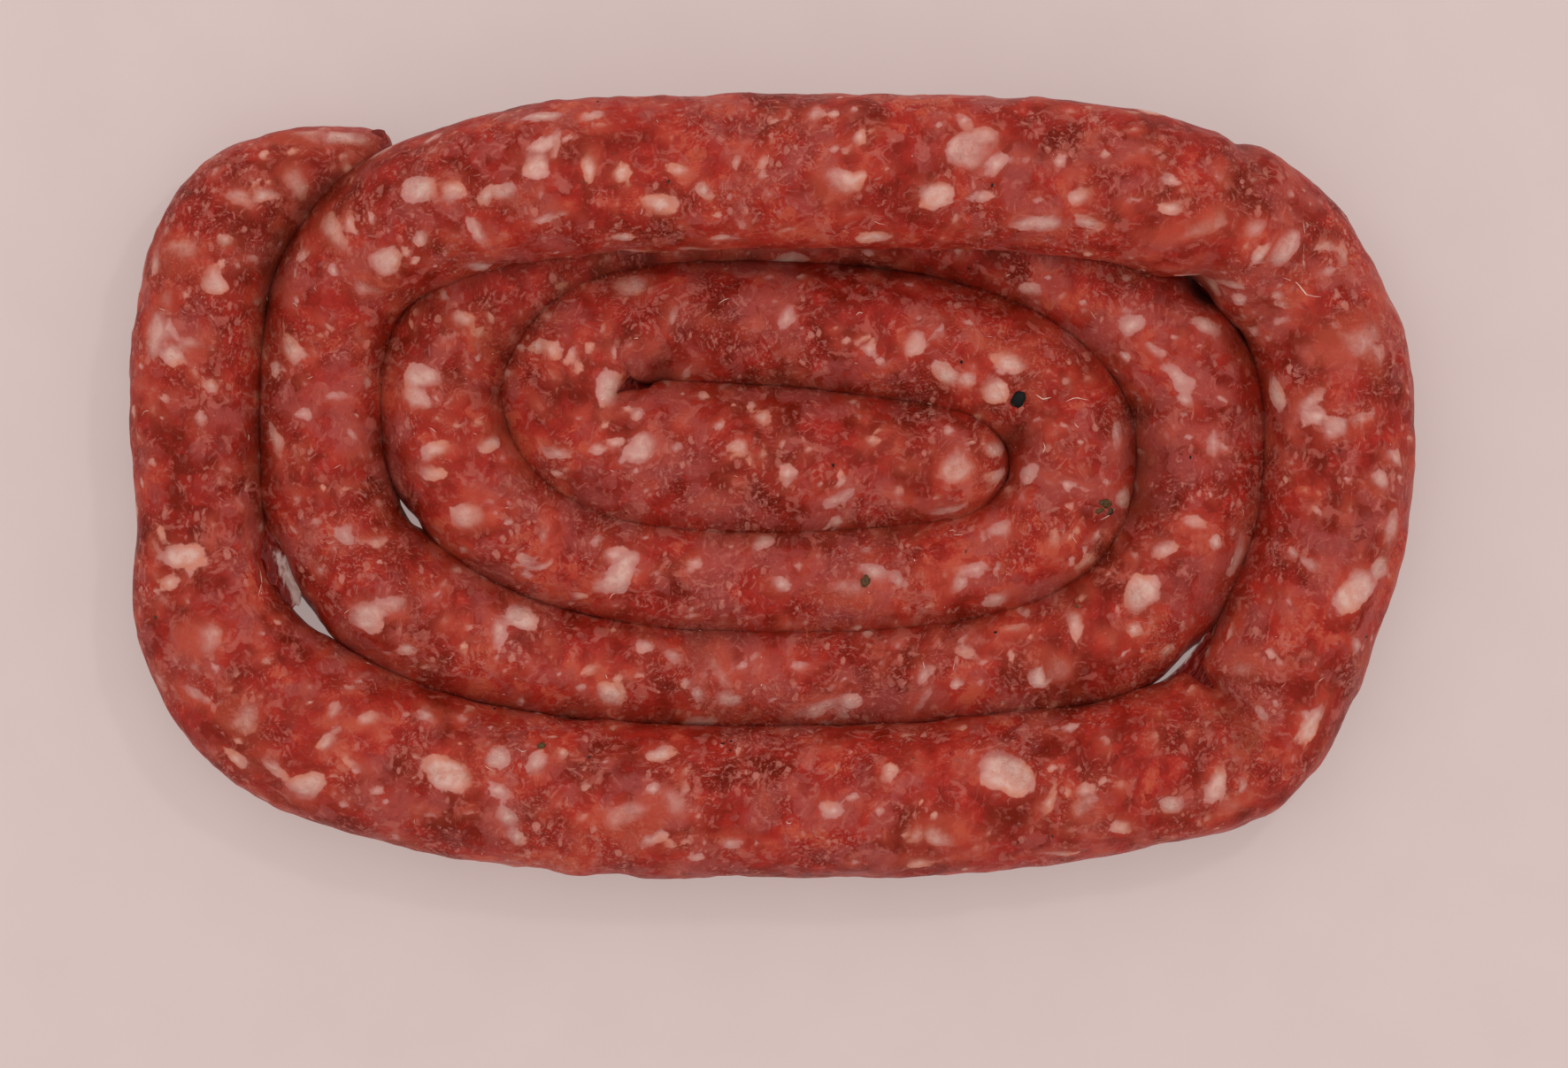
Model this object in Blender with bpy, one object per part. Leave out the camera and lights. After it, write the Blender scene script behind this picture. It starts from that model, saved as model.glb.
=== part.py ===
"""A coiled fresh sausage: one long rope of coarse-ground meat in a thin skin.

The rope has no links or twists. It lies as a flat spiral of about three and a half
turns in a rounded rectangle. Most of it rests on the floor with its turns pressed
against each other. Along the back the outer turn rides up over the one inside it. The
cut tail is tucked against that raised stretch, and the round nose lies in the middle.

The whole rope is one closed solid. Its centre line is a chain of quarter turns, each a
quarter of a superellipse between two neighbouring sides of the coil. The skin is a loft
along it of unlike sections. Each is an oval flattened where it meets the floor, the
neighbouring turns or the inside of its own bend, and dented where the skin folds.

Frame: metres, +X right, +Y back, +Z up, floor at Z = 0, origin under the coil's middle.
"""
import math
from typing import NamedTuple

import bmesh
import bpy
import numpy as np

MM = 0.001

COLLECTION_NAME = "coiled_sausage"
NODE_NAME = "sausage_coil"
MEAT_COLOUR = (0.30, 0.050, 0.036, 1.0)
MEAT_ROUGHNESS = 0.42

# How far the outermost turn's centre line reaches on each side of the coil
LEFT_REACH = 96.3 * MM
FRONT_REACH = 52.7 * MM
RIGHT_REACH = 94.2 * MM
BACK_REACH = 52.8 * MM
TAIL_REACH = 52.0 * MM


class Side(NamedTuple):
    """The rope where it crosses one side of the coil, and the corner that follows.

    along: where on that side it crosses. room: the width of its place in the coil.
    tuck: how far it slides in under the turn outside it. radius: its size if it lay free.
    lift: how far it is held over the floor, or pressed down if less than 0. square: the
    squareness of the corner, where 2 is an ellipse. change: the stretch of the corner, in
    shares of its length, over which radius and lift pass to the next side's.
    """
    along: float
    room: float
    tuck: float
    radius: float
    lift: float
    square: float
    change: tuple


# Lengths in millimetres here, from the tail inwards: back, left, front, right, back, ...
SIDES_IN_MM = (
    Side(-63.2, 16.0, 0.0, 8.1, 0.0, 3.8, (0.00, 0.50)),
    Side(5.5, 21.6, 0.0, 10.8, 0.0, 3.2, (0.15, 0.55)),
    Side(8.2, 25.2, 0.0, 12.7, 0.0, 3.1, (0.25, 0.75)),
    Side(11.0, 24.9, 0.0, 12.6, 0.0, 2.9, (0.24, 0.50)),
    Side(19.3, 25.5, 0.0, 12.8, 11.8, 4.0, (0.45, 0.86)),
    Side(4.4, 20.2, 0.0, 10.6, 0.0, 2.2, (0.30, 0.75)),
    Side(-5.8, 15.9, 0.0, 8.8, 0.0, 3.0, (0.35, 0.80)),
    Side(10.1, 19.7, 0.0, 11.2, 0.0, 2.0, (0.20, 0.80)),
    Side(6.4, 17.8, 15.7, 9.6, -1.0, 2.2, (0.20, 0.80)),
    Side(15.0, 20.3, 0.0, 10.9, 0.0, 2.4, (0.20, 0.60)),
    Side(2.2, 17.6, 0.0, 9.2, 0.0, 2.7, (0.45, 0.90)),
    Side(4.7, 21.6, 0.0, 10.8, 0.0, 2.6, (0.20, 0.80)),
    Side(-24.6, 19.9, 0.0, 10.4, 0.0, 1.95, (0.20, 0.80)),
    Side(17.6, 22.0, 0.0, 11.0, 0.0, 4.0, (0.45, 1.00)),
    Side(40.4, 21.8, 0.0, 9.9, 0.0, 2.0, (0.20, 0.80)),
)

# Where the rope spreads sideways: distance from the tail, spread to each side, its reach
SPREADS_IN_MM = (
    (115.0, 2.7, 22.0),
    (280.0, 1.1, 14.0),
    (368.0, 0.6, 14.0),
    (596.0, 1.1, 14.0),
    (716.0, 0.7, 12.0),
    (1136.0, 0.8, 12.0),
    (1168.0, 1.8, 34.0),
)

# Where the hand-laid rope strays from that spiral: distance from the tail, shift to the
# right of its run, and the reach of the shift
STRAYS_IN_MM = (
    (106.0, 0.5, 14.0),
    (133.0, -0.7, 12.0),
    (243.0, -0.9, 14.0),
    (279.0, 2.0, 11.0),
    (303.0, -1.5, 11.0),
    (334.0, 1.0, 14.0),
    (716.0, 0.9, 13.0),
)

# Folds of the skin at kinks: distance from the tail, the way round the rope that the fold
# faces (0 is the right of its run, a quarter turn is up), its depth and its half width
FOLDS_IN_MM = (
    (284.0, 150.0, 3.2, 2.6),
    (384.2, 40.0, 1.7, 2.0),
)

# The centre line of a stretch that rests on the floor, in shares of its radius
RESTING_HEIGHT = 0.94

# Air left between touching skins, and the sharpest that a bend's inside may fold
SKIN_GAP = 0.35 * MM
FOLD_LIMIT = 0.95

# A flattened patch blends into the round over this share of the radius, and a ray that
# turns less than this towards a plane isn't cut by it
BLEND = 0.16
GRAZING = 0.05

# Turns are told apart from the rope's own next stretch by this much of its length
OWN_STRETCH = 15.0 * MM

# The centre line is worked out at this step and eased over this reach
ARC_STEPS = 400
LINE_STEP = 1.0 * MM
EASING = 4.0 * MM

# The tail is cut nearly flat and the nose is round
TAIL_CAP = 2.4 * MM
TAIL_BLUNTNESS = 3.0
NOSE_ROUNDNESS = 2.0

# Resolution of the loft
RINGS = 236
RING_SIDES = 20
BEND_CROWDING = 9.0 * MM
CAP_RINGS = 5


def smooth_step(share, start, end):
    """Rise from 0 to 1 between two shares, with no kink at either."""
    t = np.clip((share - start) / (end - start), 0.0, 1.0)
    return t * t * (3.0 - 2.0 * t)


def bell(distance, middle, reach):
    """A bell of height 1 round the middle."""
    return np.exp(-((distance - middle) / reach) ** 2)


def soft_min(first, second, width):
    """The smaller of two lengths, rounded off where they differ by less than width."""
    overlap = np.clip(1.0 - np.abs(first - second) / width, 0.0, 1.0)
    return np.minimum(first, second) - overlap ** 2 * width / 4.0


def side_points():
    """Plan points, in mm, where the centre line crosses the coil's sides.

    A turn's reach is that of the turn outside it less half the room of both, plus any
    tuck.
    """
    outermost = (TAIL_REACH, LEFT_REACH, FRONT_REACH, RIGHT_REACH, BACK_REACH)
    reaches = [reach / MM for reach in outermost]
    for outer, inner in zip(SIDES_IN_MM[1:], SIDES_IN_MM[5:]):
        step = (outer.room + inner.room) / 2.0 - inner.tuck
        reaches.append(reaches[-4] - step)
    points = []
    for k, (side, reach) in enumerate(zip(SIDES_IN_MM, reaches)):
        back, left, front = k % 4 == 0, k % 4 == 1, k % 4 == 2
        if back or front:
            points.append((side.along, reach if back else -reach))
        else:
            points.append((-reach if left else reach, side.along))
    return np.array(points)


def quarter_turn(start, end, starts_level, square):
    """A quarter superellipse from start to end; starts_level leaves start along X."""
    t = np.linspace(0.0, math.pi / 2.0, ARC_STEPS)
    ahead = np.sin(t) ** (2.0 / square)
    inward = 1.0 - np.cos(t) ** (2.0 / square)
    shares = (ahead, inward) if starts_level else (inward, ahead)
    return start + (end - start) * np.stack(shares, axis=1)


def run_length(points):
    """Length along a line of points, up to each of them."""
    steps = np.linalg.norm(np.diff(points, axis=0), axis=1)
    return np.concatenate(((0.0,), np.cumsum(steps)))


def resample(values, distance, stations):
    """Each column of values, read at the stations along distance."""
    return np.stack([np.interp(stations, distance, column) for column in values.T], axis=1)


def eased(values, reach):
    """Values averaged over a bell of the given reach in samples; the ends stay put."""
    pad = 3 * reach
    weights = np.exp(-0.5 * (np.arange(-pad, pad + 1) / reach) ** 2)
    weights /= weights.sum()
    head = 2.0 * values[0] - values[pad:0:-1]
    foot = 2.0 * values[-1] - values[-2:-pad - 2:-1]
    padded = np.concatenate((head, values, foot))
    return np.stack([np.convolve(column, weights, "valid") for column in padded.T], axis=1)


def even_steps(rows):
    """Rows of X, Y, Z and more, read again at even steps along the line."""
    length = run_length(rows[:, :3])
    count = round(length[-1] / LINE_STEP)
    return resample(rows, length, np.linspace(0.0, length[-1], count + 1))


def rope_line():
    """The whole rope at even steps: distance, centre points, radii and spreads."""
    corners = side_points()
    turns = []
    for k, (side, following) in enumerate(zip(SIDES_IN_MM, SIDES_IN_MM[1:])):
        turn = quarter_turn(corners[k], corners[k + 1], k % 2 == 0, side.square)
        share = run_length(turn)
        share /= share[-1]
        passed = smooth_step(share, *side.change)
        radius = side.radius + (following.radius - side.radius) * passed
        lift = side.lift + (following.lift - side.lift) * passed
        height = RESTING_HEIGHT * radius + lift
        turns.append(np.column_stack((turn, height, radius))[1 if k else 0:])
    rows = even_steps(np.concatenate(turns) * MM)
    rows = eased(rows, round(EASING / LINE_STEP))

    length = run_length(rows[:, :3])
    _, right, _ = frame_vectors(length, rows[:, :3])
    for place, shift, reach in STRAYS_IN_MM:
        rows[:, :3] += shift * MM * bell(length, place * MM, reach * MM)[:, None] * right
    rows = even_steps(rows)
    length = run_length(rows[:, :3])
    spread = sum(widening * MM * bell(length, place * MM, reach * MM)
                 for place, widening, reach in SPREADS_IN_MM)
    return length, rows[:, :3], rows[:, 3], spread


def frame_vectors(length, centre):
    """Forward, rightward and upward unit vectors along the rope."""
    forward = np.gradient(centre, length, axis=0)
    forward /= np.linalg.norm(forward, axis=1, keepdims=True)
    right = np.cross(forward, (0.0, 0.0, 1.0))
    right /= np.linalg.norm(right, axis=1, keepdims=True)
    return forward, right, np.cross(right, forward)


def end_taper(distance, reach, power):
    """Share of the radius left at a distance from an end that rounds off over reach."""
    depth = np.clip(1.0 - distance / reach, 0.0, 1.0)
    return (1.0 - depth ** power) ** (1.0 / power)


def skin_rings(stations, sides):
    """Skin points round the rope at each station, one ring of rays for each.

    Each ray starts at the size of the free oval. It is cut by the plane that shares the
    room with each other stretch of the rope, by the planes of the rings next to its own
    on the inside of a bend, and by the floor. A ring in the nose shares the room as the
    ball does that rounds the nose off.
    """
    length, centre, radius, spread = rope_line()
    forward, right, upward = frame_vectors(length, centre)
    table = np.column_stack((centre, radius, spread, right, upward))
    row = resample(table, length, stations)
    place, tall = row[:, 0:3], row[:, 3:4]
    wide = tall + row[:, 4:5]
    angle = np.linspace(0.0, 2.0 * math.pi, sides, endpoint=False)
    ray = (np.cos(angle)[None, :, None] * row[:, None, 5:8]
           + np.sin(angle)[None, :, None] * row[:, None, 8:11])

    free = wide * tall / np.hypot(tall * np.cos(angle), wide * np.sin(angle))
    for fold_place, facing, depth, reach in FOLDS_IN_MM:
        lobe = (0.5 + 0.5 * np.cos(angle - math.radians(facing))) ** 2
        dent = bell(stations, fold_place * MM, reach * MM)[:, None] * lobe
        free = free - depth * MM * dent
    nose = radius[-1]
    last = length[-1] - nose
    free = free * (end_taper(length[-1] - stations, nose, NOSE_ROUNDNESS)
                   * end_taper(stations, TAIL_CAP, TAIL_BLUNTNESS))[:, None]

    ball = resample(centre, length, np.minimum(stations, last))
    lead = place - ball
    room = np.full(free.shape, np.inf)
    for k in range(0, len(length), 2):
        own = (np.abs(stations - length[k]) < OWN_STRETCH)[:, None]
        crossing = np.einsum("rk,k->r", centre[k] - place, forward[k])[:, None]
        turned = ray @ forward[k]
        meets = own & (crossing * turned > 0.0)
        reach = FOLD_LIMIT * crossing / np.where(meets, turned, 1.0)
        room = np.where(meets, np.minimum(room, reach), room)
        if length[k] > last:
            continue
        away = centre[k] - ball
        apart = np.maximum(np.linalg.norm(away, axis=1), MM)
        away /= apart[:, None]
        plane = apart ** 2 + wide[:, 0] ** 2 - (radius[k] + spread[k]) ** 2
        plane = plane / (2.0 * apart) - SKIN_GAP / 2.0 - np.einsum("rk,rk->r", lead, away)
        facing = np.einsum("rsk,rk->rs", ray, away)
        faces = ~own & (facing > GRAZING)
        reach = plane[:, None] / np.maximum(facing, GRAZING)
        room = np.where(faces, np.minimum(room, reach), room)
    skin = soft_min(free, np.maximum(room, 0.0), BLEND * tall)
    floor = place[:, 2:3] / np.maximum(-ray[:, :, 2], GRAZING * GRAZING)
    skin = np.clip(skin, 0.0, floor)
    points = place[:, None, :] + skin[:, :, None] * ray
    return np.maximum(points, (-np.inf, -np.inf, 0.0))


def ring_stations(length, centre, radius):
    """Distances of the loft's rings, closer together in bends and round both ends."""
    forward, _, _ = frame_vectors(length, centre)
    bend = np.linalg.norm(np.gradient(forward, length, axis=0), axis=1)
    crowd = np.concatenate(((0.0,), np.cumsum(1.0 + BEND_CROWDING * bend[1:])))
    first, last = TAIL_CAP, length[-1] - radius[-1]
    between = np.interp((first, last), length, crowd)
    along = np.interp(np.linspace(*between, RINGS - 2 * CAP_RINGS), crowd, length)
    turn = np.linspace(0.0, math.pi / 2.0, CAP_RINGS + 2)[1:-1]
    tail = first * (1.0 - np.cos(turn))
    nose = last + radius[-1] * np.sin(turn)
    return np.concatenate((tail, along, nose))


def loft(name, rings, tips):
    """A closed mesh through rings of points, each end drawn in to its tip."""
    mesh = bpy.data.meshes.new(name)
    builder = bmesh.new()
    loops = [[builder.verts.new(point) for point in ring] for ring in rings]
    start, finish = (builder.verts.new(tip) for tip in tips)
    sides = len(loops[0])
    for near, far in zip(loops, loops[1:]):
        for i in range(sides):
            j = (i + 1) % sides
            builder.faces.new((near[i], near[j], far[j], far[i]))
    for i in range(sides):
        j = (i + 1) % sides
        builder.faces.new((start, loops[0][j], loops[0][i]))
        builder.faces.new((finish, loops[-1][i], loops[-1][j]))
    bmesh.ops.recalc_face_normals(builder, faces=builder.faces)
    builder.to_mesh(mesh)
    builder.free()
    mesh.shade_smooth()
    return mesh


def meat_material():
    """Raw coarse-ground meat under a thin moist skin."""
    material = bpy.data.materials.new("ground_meat")
    material.use_nodes = True
    shader = material.node_tree.nodes["Principled BSDF"]
    shader.inputs["Base Color"].default_value = MEAT_COLOUR
    shader.inputs["Roughness"].default_value = MEAT_ROUGHNESS
    shader.inputs["Metallic"].default_value = 0.0
    return material


def build():
    """Clear the scene and model the sausage in a collection of its own."""
    for thing in list(bpy.data.objects):
        bpy.data.objects.remove(thing, do_unlink=True)
    collection = bpy.data.collections.new(COLLECTION_NAME)
    bpy.context.scene.collection.children.link(collection)

    length, centre, radius, _ = rope_line()
    rings = skin_rings(ring_stations(length, centre, radius), RING_SIDES)
    middle = (rings.min(axis=(0, 1)) + rings.max(axis=(0, 1))) / 2.0
    offset = middle * (1.0, 1.0, 0.0)
    mesh = loft(NODE_NAME, rings - offset, (centre[0] - offset, centre[-1] - offset))
    mesh.materials.append(meat_material())
    collection.objects.link(bpy.data.objects.new(NODE_NAME, mesh))


build()
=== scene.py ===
"""A coiled fresh sausage, dressed: mince and fat under a thin moist skin.

The rope follows the same spiral as the solid that it stands for, worked out again here at
a finer step. Relief and folds are added to its sections before the turns press them flat,
so a lump is flattened where a neighbouring turn or the floor meets it. Fat swells the skin
a little after that.

Frame: metres, +X right, +Y back, +Z up, floor at Z = 0. Design sizes are in millimetres.
"""
import itertools
import logging
import math
from dataclasses import dataclass, field
from enum import Enum
from typing import Callable, NamedTuple, Sequence

import bpy
import numpy as np
from mathutils.bvhtree import BVHTree
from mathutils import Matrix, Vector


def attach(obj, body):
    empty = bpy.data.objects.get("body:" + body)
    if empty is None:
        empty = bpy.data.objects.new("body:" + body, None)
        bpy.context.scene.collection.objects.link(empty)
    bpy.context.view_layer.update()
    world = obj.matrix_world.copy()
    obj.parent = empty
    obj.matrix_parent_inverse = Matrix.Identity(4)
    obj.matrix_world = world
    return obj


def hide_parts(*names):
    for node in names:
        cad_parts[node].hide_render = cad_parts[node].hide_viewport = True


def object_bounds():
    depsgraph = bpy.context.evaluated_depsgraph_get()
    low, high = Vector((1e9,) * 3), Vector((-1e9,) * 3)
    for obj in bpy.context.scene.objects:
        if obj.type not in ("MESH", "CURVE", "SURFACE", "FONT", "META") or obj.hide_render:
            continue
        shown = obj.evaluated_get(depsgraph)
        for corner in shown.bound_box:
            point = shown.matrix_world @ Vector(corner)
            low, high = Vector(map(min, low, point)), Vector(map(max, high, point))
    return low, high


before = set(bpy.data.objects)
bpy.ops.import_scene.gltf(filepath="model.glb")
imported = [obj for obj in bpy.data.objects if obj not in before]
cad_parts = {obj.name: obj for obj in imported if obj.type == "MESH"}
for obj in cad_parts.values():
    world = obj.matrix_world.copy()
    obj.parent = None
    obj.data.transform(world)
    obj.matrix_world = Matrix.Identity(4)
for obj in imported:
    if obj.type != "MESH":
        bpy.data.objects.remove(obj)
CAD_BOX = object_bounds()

MM = 0.001
BODY = "root"
NODE = "sausage_coil"

log = logging.getLogger("sausage")

Colour = tuple[float, float, float, float]


def paint(red: int, green: int, blue: int) -> Colour:
    """A colour as it looks on a screen, 0 to 255 a channel, as the linear light of it."""
    shares = np.array((red, green, blue)) / 255.0
    linear = np.where(shares > 0.04045, ((shares + 0.055) / 1.055) ** 2.4, shares / 12.92)
    return (*(float(part) for part in linear), 1.0)


# --------------------------------------------------------------------------------------
# Small tools of shape
# --------------------------------------------------------------------------------------

def smooth_step(share: np.ndarray, start: float, end: float) -> np.ndarray:
    """Rise from 0 to 1 between start and end by 3t^2 - 2t^3, with no kink."""
    t = np.clip((share - start) / (end - start), 0.0, 1.0)
    return t * t * (3.0 - 2.0 * t)


def bell(distance: np.ndarray, middle: float, reach: float) -> np.ndarray:
    """A bell of height 1: e to the minus squared distance over squared reach."""
    return np.exp(-((distance - middle) / reach) ** 2)


def soft_min(first: np.ndarray, second: np.ndarray, width: np.ndarray) -> np.ndarray:
    """The smaller of two lengths, rounded off where they differ by less than width."""
    overlap = np.clip(1.0 - np.abs(first - second) / width, 0.0, 1.0)
    return np.minimum(first, second) - overlap ** 2 * width / 4.0


def unit(vectors: np.ndarray) -> np.ndarray:
    """Vectors of length 1 the same way."""
    return vectors / np.linalg.norm(vectors, axis=-1, keepdims=True)


def run_length(points: np.ndarray) -> np.ndarray:
    """Length along a line of points, up to each of them."""
    steps = np.linalg.norm(np.diff(points, axis=0), axis=1)
    return np.concatenate(((0.0,), np.cumsum(steps)))


def resample(values: np.ndarray, distance: np.ndarray, stations: np.ndarray) -> np.ndarray:
    """Each column of values, read at the stations along distance."""
    return np.stack([np.interp(stations, distance, column) for column in values.T], axis=1)


class Noise:
    """Smooth random values through space, between -1 and 1.

    A lattice of random numbers repeats through space, and between its points the values
    are blended by 3t^2 - 2t^3 along each axis.
    """

    LATTICE = 32

    def __init__(self, seed: int) -> None:
        """Args: seed: picks the lattice's numbers."""
        shape = (self.LATTICE,) * 3
        self.table = np.random.default_rng(seed).uniform(-1.0, 1.0, shape)

    def at(self, points: np.ndarray, size: float) -> np.ndarray:
        """Values at points.

        Args:
            points: positions, in metres, along the last axis.
            size: the lattice's step, in metres, which is about half a lump's wavelength.

        Returns:
            One value a point.
        """
        cell = np.floor(points / size).astype(int)
        share = smooth_step(points / size - cell, 0.0, 1.0)
        total = np.zeros(points.shape[:-1])
        for corner in itertools.product((0, 1), repeat=3):
            weight = np.where(corner, share, 1.0 - share).prod(axis=-1)
            index = (cell + corner) % self.LATTICE
            total += weight * self.table[index[..., 0], index[..., 1], index[..., 2]]
        return total


def closed_mesh(name: str, points: np.ndarray, quads: np.ndarray,
                triangles: np.ndarray) -> bpy.types.Mesh:
    """A smooth mesh from arrays of points and faces.

    Args:
        name: the mesh's name.
        points: one row a vertex.
        quads: rows of four vertex numbers, anticlockwise from outside.
        triangles: rows of three vertex numbers, anticlockwise from outside.

    Returns:
        The mesh, shaded smooth.
    """
    mesh = bpy.data.meshes.new(name)
    corners = np.concatenate((quads.ravel(), triangles.ravel())).astype(np.int32)
    sizes = np.concatenate((np.full(len(quads), 4), np.full(len(triangles), 3)))
    starts = np.concatenate(((0,), np.cumsum(sizes)[:-1])).astype(np.int32)
    mesh.vertices.add(len(points))
    mesh.vertices.foreach_set("co", points.astype(np.float32).ravel())
    mesh.loops.add(len(corners))
    mesh.loops.foreach_set("vertex_index", corners)
    mesh.polygons.add(len(sizes))
    mesh.polygons.foreach_set("loop_start", starts)
    mesh.update(calc_edges=True)
    mesh.validate()
    mesh.shade_smooth()
    return mesh


def tube_faces(rings: int, sides: int) -> tuple[np.ndarray, np.ndarray]:
    """Faces of a closed tube of rings with a tip at each end.

    Args:
        rings: number of rings, numbered along the tube.
        sides: vertices in a ring, numbered clockwise as seen from the first tip.

    Returns:
        Quads between rings and triangles to the tips, which are the last two vertices.
    """
    side = np.arange(sides)
    following = (side + 1) % sides
    base = sides * np.arange(rings - 1)[:, None]
    quads = np.stack((base + side, base + following,
                      base + sides + following, base + sides + side), axis=-1)
    last = sides * (rings - 1)
    start_tip, end_tip = rings * sides, rings * sides + 1
    start = np.stack((np.full(sides, start_tip), following, side), axis=-1)
    end = np.stack((np.full(sides, end_tip), last + side, last + following), axis=-1)
    return quads.reshape(-1, 4), np.concatenate((start, end))


def add_values(mesh: bpy.types.Mesh, name: str, values: np.ndarray) -> None:
    """Keep one number a vertex on a mesh, under a name that materials read."""
    layer = mesh.attributes.new(name, "FLOAT", "POINT")
    layer.data.foreach_set("value", values.astype(np.float32).ravel())


def place_piece(name: str, mesh: bpy.types.Mesh) -> bpy.types.Object:
    """Put a mesh in the scene as a piece that rides with the sausage."""
    piece = bpy.data.objects.new(name, mesh)
    bpy.context.scene.collection.objects.link(piece)
    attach(piece, BODY)
    return piece


# --------------------------------------------------------------------------------------
# The rope's run and its skin
# --------------------------------------------------------------------------------------

class Side(NamedTuple):
    """The rope where it crosses one side of the coil, and the corner that follows.

    along: where on that side it crosses. room: the width of its place in the coil. tuck:
    how far it slides in under the turn outside it. radius: its size if it lay free. lift:
    how far it is held over the floor. square: the squareness of the corner, where 2 is an
    ellipse. change: the shares of the corner over which radius and lift pass on.
    """

    along: float
    room: float
    tuck: float
    radius: float
    lift: float
    square: float
    change: tuple[float, float]


class Shift(NamedTuple):
    """A change of the rope over a short stretch: where from the tail, how much, reach."""

    place: float
    amount: float
    reach: float


class Fold(NamedTuple):
    """A fold of the skin: where from the tail, which way it faces, depth, half width."""

    place: float
    facing: float
    depth: float
    reach: float


class Spot(NamedTuple):
    """A round patch in plan: its middle, its reach and how strongly it acts there."""

    x: float
    y: float
    reach: float
    much: float

    def at(self, points: np.ndarray) -> np.ndarray:
        """Its strength at points, as a bell over the distance in plan."""
        apart = np.hypot(points[..., 0] - self.x * MM, points[..., 1] - self.y * MM)
        return self.much * bell(apart, 0.0, self.reach * MM)


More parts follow.
